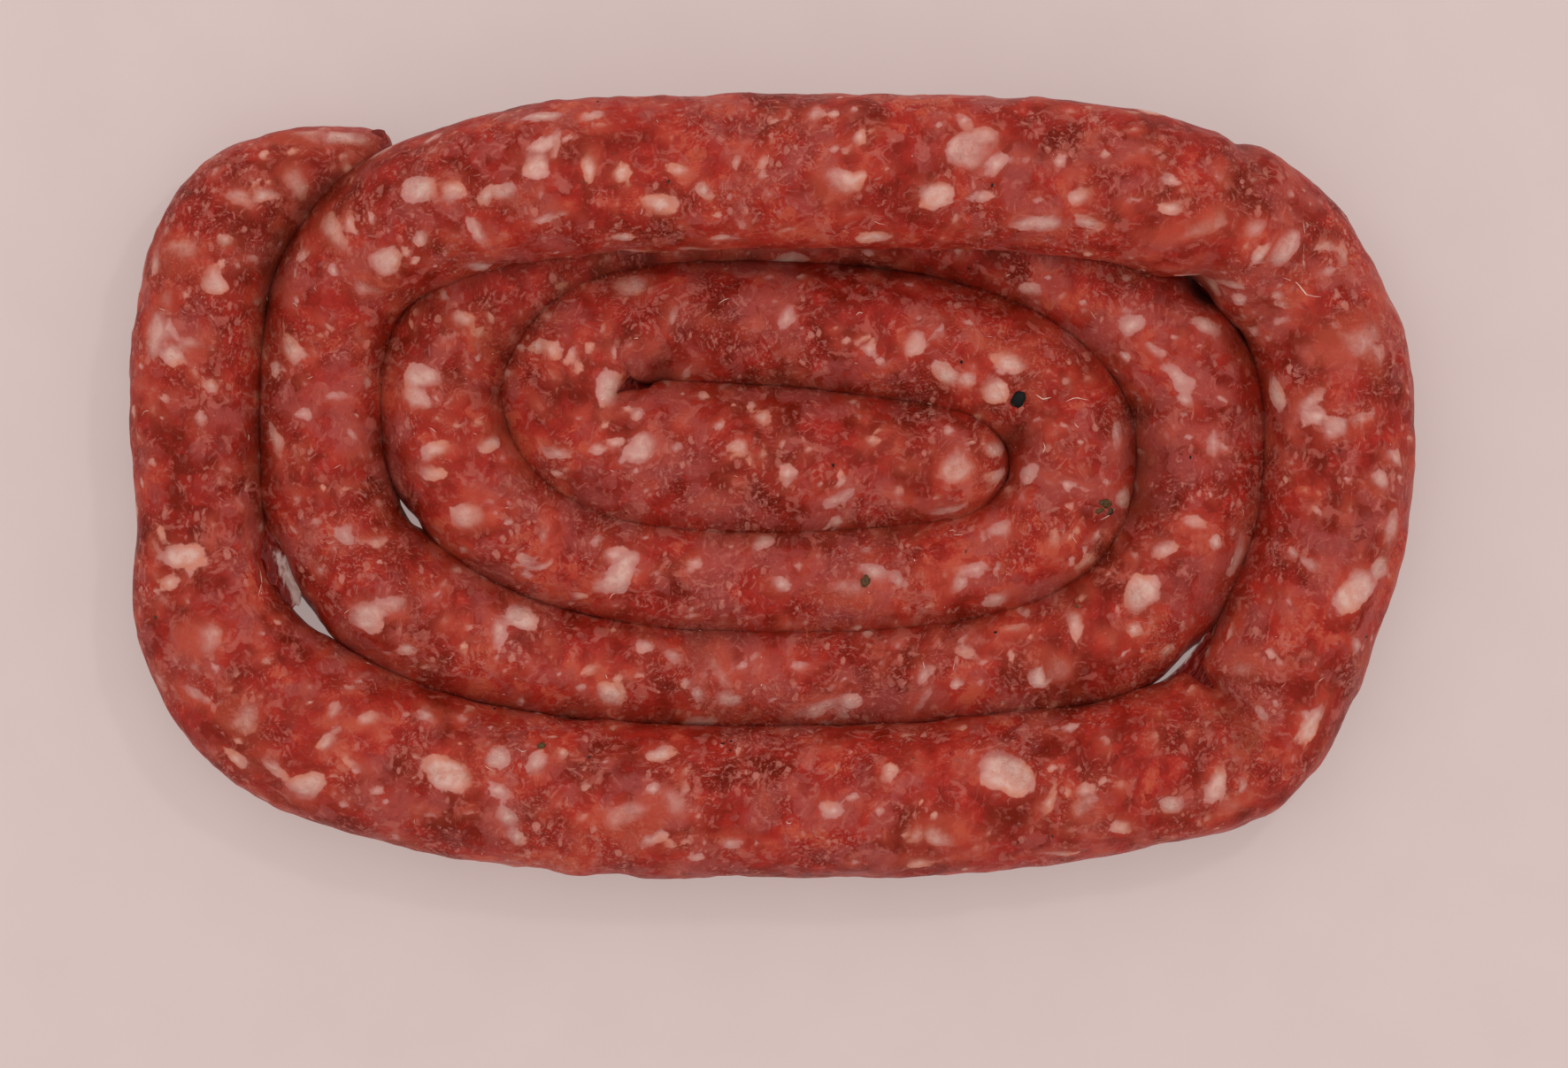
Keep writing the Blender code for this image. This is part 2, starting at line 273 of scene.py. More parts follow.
@dataclass
class RopeRun:
    """The spiral that the rope lies in, from the cut tail in to the round nose.

    Between two sides of the coil the centre line is a quarter of a superellipse. Sides
    run back, left, front, right, and again. All sizes are in millimetres.
    """

    tail_reach: float = 52.0
    left_reach: float = 96.3
    front_reach: float = 52.7
    right_reach: float = 94.2
    back_reach: float = 52.8
    resting_height: float = 0.94
    arc_steps: int = 400
    line_step: float = 1.0
    easing: float = 4.0
    sides: Sequence[Side] = (
        Side(-63.2, 16.0, 0.0, 8.1, 0.0, 3.8, (0.00, 0.50)),
        Side(5.5, 21.6, 0.0, 10.8, 0.0, 3.2, (0.15, 0.55)),
        Side(8.2, 25.2, 0.0, 12.7, 0.0, 3.1, (0.25, 0.75)),
        Side(11.0, 24.9, 0.0, 12.6, 0.0, 2.9, (0.24, 0.50)),
        Side(19.3, 25.5, 0.0, 12.8, 11.8, 4.0, (0.45, 0.86)),
        Side(4.4, 20.2, 0.0, 10.6, 0.0, 2.2, (0.30, 0.75)),
        Side(-5.8, 15.9, 0.0, 8.8, 0.0, 3.0, (0.35, 0.80)),
        Side(10.1, 19.7, 0.0, 11.2, 0.0, 2.0, (0.20, 0.80)),
        Side(6.4, 17.8, 15.7, 9.6, -1.0, 2.2, (0.20, 0.80)),
        Side(15.0, 20.3, 0.0, 10.9, 0.0, 2.4, (0.20, 0.60)),
        Side(2.2, 17.6, 0.0, 9.2, 0.0, 2.7, (0.45, 0.90)),
        Side(4.7, 21.6, 0.0, 10.8, 0.0, 2.6, (0.20, 0.80)),
        Side(-24.6, 19.9, 0.0, 10.4, 0.0, 1.95, (0.20, 0.80)),
        Side(17.6, 22.0, 0.0, 11.0, 0.0, 4.0, (0.45, 1.00)),
        Side(40.4, 21.8, 0.0, 9.9, 0.0, 2.0, (0.20, 0.80)),
    )
    spreads: Sequence[Shift] = (
        Shift(115.0, 2.7, 22.0), Shift(280.0, 1.1, 14.0), Shift(368.0, 0.6, 14.0),
        Shift(596.0, 1.1, 14.0), Shift(716.0, 0.7, 12.0), Shift(1136.0, 0.8, 12.0),
        Shift(1168.0, 1.8, 34.0),
    )
    strays: Sequence[Shift] = (
        Shift(106.0, 0.5, 14.0), Shift(133.0, -0.7, 12.0), Shift(243.0, -0.9, 14.0),
        Shift(279.0, 2.0, 11.0), Shift(303.0, -1.5, 11.0), Shift(334.0, 1.0, 14.0),
        Shift(716.0, 0.9, 13.0),
    )
    length: np.ndarray = field(init=False)
    centre: np.ndarray = field(init=False)
    radius: np.ndarray = field(init=False)
    spread: np.ndarray = field(init=False)
    forward: np.ndarray = field(init=False)
    right: np.ndarray = field(init=False)
    upward: np.ndarray = field(init=False)

    def __post_init__(self) -> None:
        """Work the run out: even steps along the spiral, eased, with its strays."""
        rows = self._eased(self._even(np.concatenate(self._corners()) * MM))
        self._orient(rows)
        for stray in self.strays:
            rise = stray.amount * MM * bell(self.length, stray.place * MM, stray.reach * MM)
            rows[:, :3] += rise[:, None] * self.right
        rows = self._even(rows)
        self._orient(rows)
        self.centre, self.radius = rows[:, :3], rows[:, 3]
        self.spread = sum(wide.amount * MM * bell(self.length, wide.place * MM,
                                                  wide.reach * MM) for wide in self.spreads)

    def _reaches(self) -> list[float]:
        """How far each crossing lies out from the coil's middle.

        A turn's reach is that of the turn outside it less half the room of both, plus
        any tuck.
        """
        reaches = [self.tail_reach, self.left_reach, self.front_reach, self.right_reach,
                   self.back_reach]
        for outer, inner in zip(self.sides[1:], self.sides[5:]):
            reaches.append(reaches[-4] - (outer.room + inner.room) / 2.0 + inner.tuck)
        return reaches

    def _crossings(self) -> np.ndarray:
        """Plan points where the centre line crosses the coil's sides."""
        across = (1.0, -1.0, -1.0, 1.0)
        points = []
        for k, (side, reach) in enumerate(zip(self.sides, self._reaches())):
            out = reach * across[k % 4]
            points.append((side.along, out) if k % 2 == 0 else (out, side.along))
        return np.array(points)

    def _corners(self) -> list[np.ndarray]:
        """Rows of X, Y, Z and radius along each corner, in millimetres.

        A corner runs from crossing to crossing as a quarter superellipse: one way by
        sin(t)^(2/n) of the step, the other by 1 - cos(t)^(2/n).
        """
        crossings = self._crossings()
        t = np.linspace(0.0, math.pi / 2.0, self.arc_steps)
        corners = []
        for k, (side, following) in enumerate(zip(self.sides, self.sides[1:])):
            ahead = np.sin(t) ** (2.0 / side.square)
            inward = 1.0 - np.cos(t) ** (2.0 / side.square)
            shares = (ahead, inward) if k % 2 == 0 else (inward, ahead)
            step = crossings[k + 1] - crossings[k]
            plan = crossings[k] + step * np.stack(shares, axis=1)
            share = run_length(plan)
            passed = smooth_step(share / share[-1], *side.change)
            radius = side.radius + (following.radius - side.radius) * passed
            lift = side.lift + (following.lift - side.lift) * passed
            height = self.resting_height * radius + lift
            corners.append(np.column_stack((plan, height, radius))[1 if k else 0:])
        return corners

    def _even(self, rows: np.ndarray) -> np.ndarray:
        """Rows read again at even steps along the line."""
        length = run_length(rows[:, :3])
        count = round(length[-1] / (self.line_step * MM))
        return resample(rows, length, np.linspace(0.0, length[-1], count + 1))

    def _eased(self, rows: np.ndarray) -> np.ndarray:
        """Rows averaged over a bell along the line; the ends stay put."""
        reach = round(self.easing / self.line_step)
        pad = 3 * reach
        weights = np.exp(-0.5 * (np.arange(-pad, pad + 1) / reach) ** 2)
        weights /= weights.sum()
        head = 2.0 * rows[0] - rows[pad:0:-1]
        foot = 2.0 * rows[-1] - rows[-2:-pad - 2:-1]
        padded = np.concatenate((head, rows, foot))
        return np.stack([np.convolve(part, weights, "valid") for part in padded.T], axis=1)

    def _orient(self, rows: np.ndarray) -> None:
        """Set the length along the rows, and the forward, right and upward vectors."""
        self.length = run_length(rows[:, :3])
        self.forward = unit(np.gradient(rows[:, :3], self.length, axis=0))
        self.right = unit(np.cross(self.forward, (0.0, 0.0, 1.0)))
        self.upward = np.cross(self.right, self.forward)


Relief = Callable[[np.ndarray], np.ndarray]


@dataclass
class Skin:
    """The skin round the rope, as rings of points along it.

    Each ring is an oval of rays, raised by the relief and drawn out to a neighbour that it
    almost touches. At the partings it is drawn back instead, by their strength in
    millimetres. It is then cut by the planes that share the room with the other turns, by
    the rings next to it on the inside of a bend, and by the floor. Sizes are in
    millimetres. The crease shade is painted shade. It is high where the skin nears another
    turn, and higher still at the shade spots, in deep creases and under overhanging turns.
    """

    run: RopeRun
    rings: int = 1330
    around: int = 72
    bend_crowding: float = 9.0
    cap_rings: int = 10
    tail_cap: float = 2.4
    tail_bluntness: float = 3.0
    nose_roundness: float = 2.0
    skin_gap: float = -1.7
    cling: float = 1.55
    cling_reach: float = 2.1
    partings: Sequence[Spot] = (
        Spot(-60.6, -4.8, 4.5, 0.1), Spot(-83.8, -12.8, 5.5, 0.7),
        Spot(-78.0, -20.6, 4.3, 0.1), Spot(69.0, -27.6, 6.2, 0.1),
        Spot(73.4, 34.2, 4.0, 1.1), Spot(-18.2, 20.2, 2.6, 0.7),
    )
    # How far the painted crease shade reaches from a near turn, in millimetres
    crease_shade_reach: float = 3.4
    # Spots of painted shade, in deep creases and under overhanging turns
    shade_spots: Sequence[Spot] = (
        Spot(-67.0, 56.4, 2.6, 0.8), Spot(-72.6, 51.4, 3.2, 1.0),
        Spot(-77.6, 47.0, 3.2, 1.1), Spot(-81.6, 42.0, 3.2, 0.9),
        Spot(-84.0, 36.5, 3.0, 1.2), Spot(-84.4, 30.5, 2.8, 1.0),
        Spot(81.0, 53.9, 4.2, 0.45), Spot(79.0, 57.0, 2.0, 0.4),
        Spot(74.7, -32.3, 2.4, 0.6), Spot(77.3, -37.4, 2.8, 0.6),
        Spot(80.5, -42.0, 2.8, 0.5), Spot(73.0, 33.4, 3.4, 0.9),
        Spot(-18.2, 20.2, 3.0, 0.8), Spot(41.6, 9.0, 3.0, 1.2),
        Spot(61.2, 12.6, 3.4, 0.9), Spot(62.8, 4.5, 3.4, 0.9), Spot(62.4, -3.6, 3.2, 0.8),
        Spot(77.6, 22.0, 2.8, 0.6), Spot(79.4, 12.0, 2.8, 0.5),
        Spot(2.0, 18.6, 2.2, 0.6), Spot(12.0, 17.6, 2.2, 0.6),
        Spot(-42.6, 28.2, 3.0, 0.7), Spot(-46.4, 22.5, 3.0, 0.8),
        Spot(-47.2, 16.0, 3.0, 0.9), Spot(-46.2, 9.6, 2.8, 0.7), Spot(-42.2, 2.8, 2.4, 0.5),
        Spot(-35.5, 34.2, 3.0, 0.7), Spot(-28.5, 37.0, 2.6, 0.7),
        Spot(-20.0, 38.4, 2.4, 0.8), Spot(-12.0, 38.8, 2.4, 0.8), Spot(-3.0, 38.8, 2.0, 0.5),
        Spot(-85.4, 24.0, 2.8, 0.8), Spot(-86.1, 17.0, 2.8, 0.8), Spot(-86.2, 10.0, 2.6, 0.8),
        Spot(-85.8, 3.0, 2.4, 0.8), Spot(-85.2, -4.0, 2.2, 0.7), Spot(-65.0, 20.0, 2.4, 0.5),
        Spot(-66.0, 7.0, 2.0, 0.5), Spot(-65.0, 0.5, 2.2, 0.6), Spot(-62.4, -4.6, 2.2, 0.6),
        Spot(-58.3, -8.7, 2.2, 0.7), Spot(-53.6, -11.6, 2.2, 0.6), Spot(-46.5, -14.6, 2.0, 0.5),
        Spot(79.4, -42.6, 2.4, 0.4), Spot(75.3, -37.8, 2.2, 0.4), Spot(-47.4, 25.5, 3.6, 0.4),
        Spot(20.0, 36.4, 2.2, 0.5), Spot(29.0, 34.8, 2.2, 0.5), Spot(-76.0, -36.0, 9.0, 0.2),
        Spot(-56.5, 31.0, 3.2, 0.6), Spot(77.5, -20.5, 3.0, 0.6), Spot(50.5, -18.5, 2.6, 0.5),
        Spot(20.0, -9.2, 2.4, 0.5), Spot(-64.0, -34.0, 2.8, 0.6), Spot(-45.0, -39.6, 2.4, 0.5),
        Spot(-12.0, -25.6, 2.2, 0.4), Spot(-58.5, -12.0, 3.0, 0.5), Spot(63.0, -1.5, 3.0, 0.4),
        Spot(-17.5, -37.5, 3.0, 0.7),
    )
    fold_limit: float = 0.95
    blend: float = 0.19
    grazing: float = 0.05
    own_stretch: float = 15.0
    folds: Sequence[Fold] = (
        Fold(284.0, 150.0, 3.2, 2.6), Fold(384.2, 40.0, 1.7, 2.0),
        Fold(381.8, 180.0, 1.6, 3.6), Fold(60.0, 0.0, -0.6, 8.0),
        Fold(80.0, 0.0, 0.9, 7.0), Fold(95.0, 0.0, -0.7, 7.0), Fold(361.0, 0.0, 1.0, 9.0),
        Fold(1139.0, 158.0, -2.2, 8.0),
    )
    stations: np.ndarray = field(init=False)
    angle: np.ndarray = field(init=False)
    points: np.ndarray = field(init=False)
    rays: np.ndarray = field(init=False)
    crease_shade: np.ndarray = field(init=False)
    tips: np.ndarray = field(init=False)

    def raise_skin(self, relief: Relief) -> None:
        """Work out every ring.

        Args:
            relief: gives the height, in metres, that the free skin stands out at points.
        """
        run = self.run
        self.stations = self._ring_stations()
        self.angle = np.linspace(0.0, 2.0 * math.pi, self.around, endpoint=False)
        table = np.column_stack((run.centre, run.radius, run.spread, run.right, run.upward))
        row = resample(table, run.length, self.stations)
        place, tall = row[:, 0:3], row[:, 3:4]
        wide = tall + row[:, 4:5]
        self.rays = (np.cos(self.angle)[None, :, None] * row[:, None, 5:8]
                     + np.sin(self.angle)[None, :, None] * row[:, None, 8:11])
        free = self._free_oval(wide, tall)
        outline = place[:, None, :] + free[:, :, None] * self.rays
        free = (free + relief(outline)) * self._end_taper()[:, None]
        room = self._room(place, wide[:, 0], free.shape)
        spare = np.maximum(room - free, 0.0)
        # Painted shade: high where the skin nears another turn, and higher still at the shade
        # spots
        self.crease_shade = bell(spare, 0.0, self.crease_shade_reach * MM)
        close = bell(spare, 0.0, self.cling_reach * MM)
        for spot in self.shade_spots:
            self.crease_shade = self.crease_shade + spot.at(outline)
        drawn = self.cling * close
        for spot in self.partings:
            part = spot.at(outline)
            drawn = drawn * (1.0 - part / spot.much) - part
        free = free + MM * drawn * self._end_taper()[:, None]
        skin = soft_min(free, np.maximum(room, 0.0), self.blend * tall)
        floor = place[:, 2:3] / np.maximum(-self.rays[:, :, 2], self.grazing ** 2)
        skin = np.clip(skin, 0.0, floor)
        points = place[:, None, :] + skin[:, :, None] * self.rays
        self.points = np.maximum(points, (-np.inf, -np.inf, 0.0))
        self.tips = run.centre[[0, -1]]

    def centre_on(self, low: Sequence[float], high: Sequence[float]) -> None:
        """Move the skin in plan so that its middle is the middle of a box."""
        reach = self.points.reshape(-1, 3)
        middle = (reach.min(axis=0) + reach.max(axis=0)) / 2.0
        offset = ((np.array(low) + np.array(high)) / 2.0 - middle) * (1.0, 1.0, 0.0)
        self.points = self.points + offset
        self.tips = self.tips + offset

    def _free_oval(self, wide: np.ndarray, tall: np.ndarray) -> np.ndarray:
        """Reach of the rope's oval along each ray, with the skin's folds pressed in."""
        free = wide * tall / np.hypot(tall * np.cos(self.angle), wide * np.sin(self.angle))
        for fold in self.folds:
            lobe = (0.5 + 0.5 * np.cos(self.angle - math.radians(fold.facing))) ** 2
            dent = bell(self.stations, fold.place * MM, fold.reach * MM)
            free = free - fold.depth * MM * dent[:, None] * lobe
        return free

    def _end_taper(self) -> np.ndarray:
        """Share of the size left at each ring, as the ends round off by a superellipse."""
        nose = self.run.radius[-1]
        total = np.ones(len(self.stations))
        ends = ((self.stations, self.tail_cap * MM, self.tail_bluntness),
                (self.run.length[-1] - self.stations, nose, self.nose_roundness))
        for distance, reach, power in ends:
            depth = np.clip(1.0 - distance / reach, 0.0, 1.0)
            total = total * (1.0 - depth ** power) ** (1.0 / power)
        return total

    def _room(self, place: np.ndarray, wide: np.ndarray,
              shape: tuple[int, int]) -> np.ndarray:
        """How far each ray goes before it meets another stretch of the rope.

        Against another turn it stops at the plane where both ovals have equal power, and
        on the inside of a bend at the planes of the rings next to its own.
        """
        run, stations = self.run, self.stations
        last = run.length[-1] - run.radius[-1]
        ball = resample(run.centre, run.length, np.minimum(stations, last))
        lead = place - ball
        room = np.full(shape, np.inf)
        for k in range(0, len(run.length), 2):
            own = (np.abs(stations - run.length[k]) < self.own_stretch * MM)[:, None]
            crossing = ((run.centre[k] - place) @ run.forward[k])[:, None]
            turned = self.rays @ run.forward[k]
            meets = own & (crossing * turned > 0.0)
            reach = self.fold_limit * crossing / np.where(meets, turned, 1.0)
            room = np.where(meets, np.minimum(room, reach), room)
            if run.length[k] > last:
                continue
            away = run.centre[k] - ball
            apart = np.maximum(np.linalg.norm(away, axis=1), MM)
            away /= apart[:, None]
            plane = apart ** 2 + wide ** 2 - (run.radius[k] + run.spread[k]) ** 2
            plane = plane / (2.0 * apart) - self.skin_gap * MM / 2.0
            plane -= np.einsum("rk,rk->r", lead, away)
            facing = np.einsum("rsk,rk->rs", self.rays, away)
            faces = ~own & (facing > self.grazing)
            reach = plane[:, None] / np.maximum(facing, self.grazing)
            room = np.where(faces, np.minimum(room, reach), room)
        return room

    def _ring_stations(self) -> np.ndarray:
        """Distances of the rings, closer together in bends and round both ends."""
        run = self.run
        bend = np.linalg.norm(np.gradient(run.forward, run.length, axis=0), axis=1)
        crowd = 1.0 + self.bend_crowding * MM * bend
        crowd = np.concatenate(((0.0,), np.cumsum(crowd[1:])))
        first, last = self.tail_cap * MM, run.length[-1] - run.radius[-1]
        between = np.interp((first, last), run.length, crowd)
        evenly = np.linspace(*between, self.rings - 2 * self.cap_rings)
        along = np.interp(evenly, crowd, run.length)
        turn = np.linspace(0.0, math.pi / 2.0, self.cap_rings + 2)[1:-1]
        tail = first * (1.0 - np.cos(turn))
        nose = last + run.radius[-1] * np.sin(turn)
        return np.concatenate((tail, along, nose))

    def top_point(self, x: float, y: float) -> tuple[int, int]:
        """Ring and side of the upper skin point nearest to a plan point, in metres."""
        apart = np.hypot(self.points[..., 0] - x, self.points[..., 1] - y)
        height = self.points[..., 2]
        near = apart < max(1.2 * MM, apart.min() + 0.1 * MM)
        above = near & (height > height[near].max() - 4.0 * MM)
        return np.unravel_index(np.argmin(np.where(above, apart, 1.0)), apart.shape)

    def read(self, station: np.ndarray, angle: np.ndarray) -> np.ndarray:
        """Skin points at distances along the rope and angles round it, blended between
        the four grid points about each.

        Args:
            station: distances from the tail, in metres.
            angle: angles from the right of the run, in radians.

        Returns:
            Points, in metres.
        """
        along = np.interp(station, self.stations, np.arange(len(self.stations)))
        turn = np.mod(angle / (2.0 * math.pi), 1.0) * self.around
        ring = np.clip(along.astype(int), 0, len(self.stations) - 2)
        side = turn.astype(int) % self.around
        up = (along - ring)[..., None]
        on = (turn - np.floor(turn))[..., None]
        following = (side + 1) % self.around
        near = (1.0 - on) * self.points[ring, side] + on * self.points[ring, following]
        far = (1.0 - on) * self.points[ring + 1, side] + on * self.points[ring + 1, following]
        return (1.0 - up) * near + up * far


# --------------------------------------------------------------------------------------
# Fat in the mince
# --------------------------------------------------------------------------------------

class Depth(Enum):
    """How deep a piece of fat lies under the skin, from 0 at the skin to 1 buried."""

    SKIN = 0.0
    SHALLOW = 0.3
    VEILED = 0.6
    BURIED = 0.95


class Fat(NamedTuple):
    """A piece of fat: plan place, half length, half width, heading in degrees, depth."""

    x: float
    y: float
    long: float
    wide: float
    heading: float
    depth: Depth
    curl: float = 0.0


def laid(depth: Depth, *rows: tuple[float, ...]) -> tuple[Fat, ...]:
    """Pieces of one depth, from rows of x, y, half length, half width and heading."""
    return tuple(Fat(*row[:5], depth, *row[5:]) for row in rows)


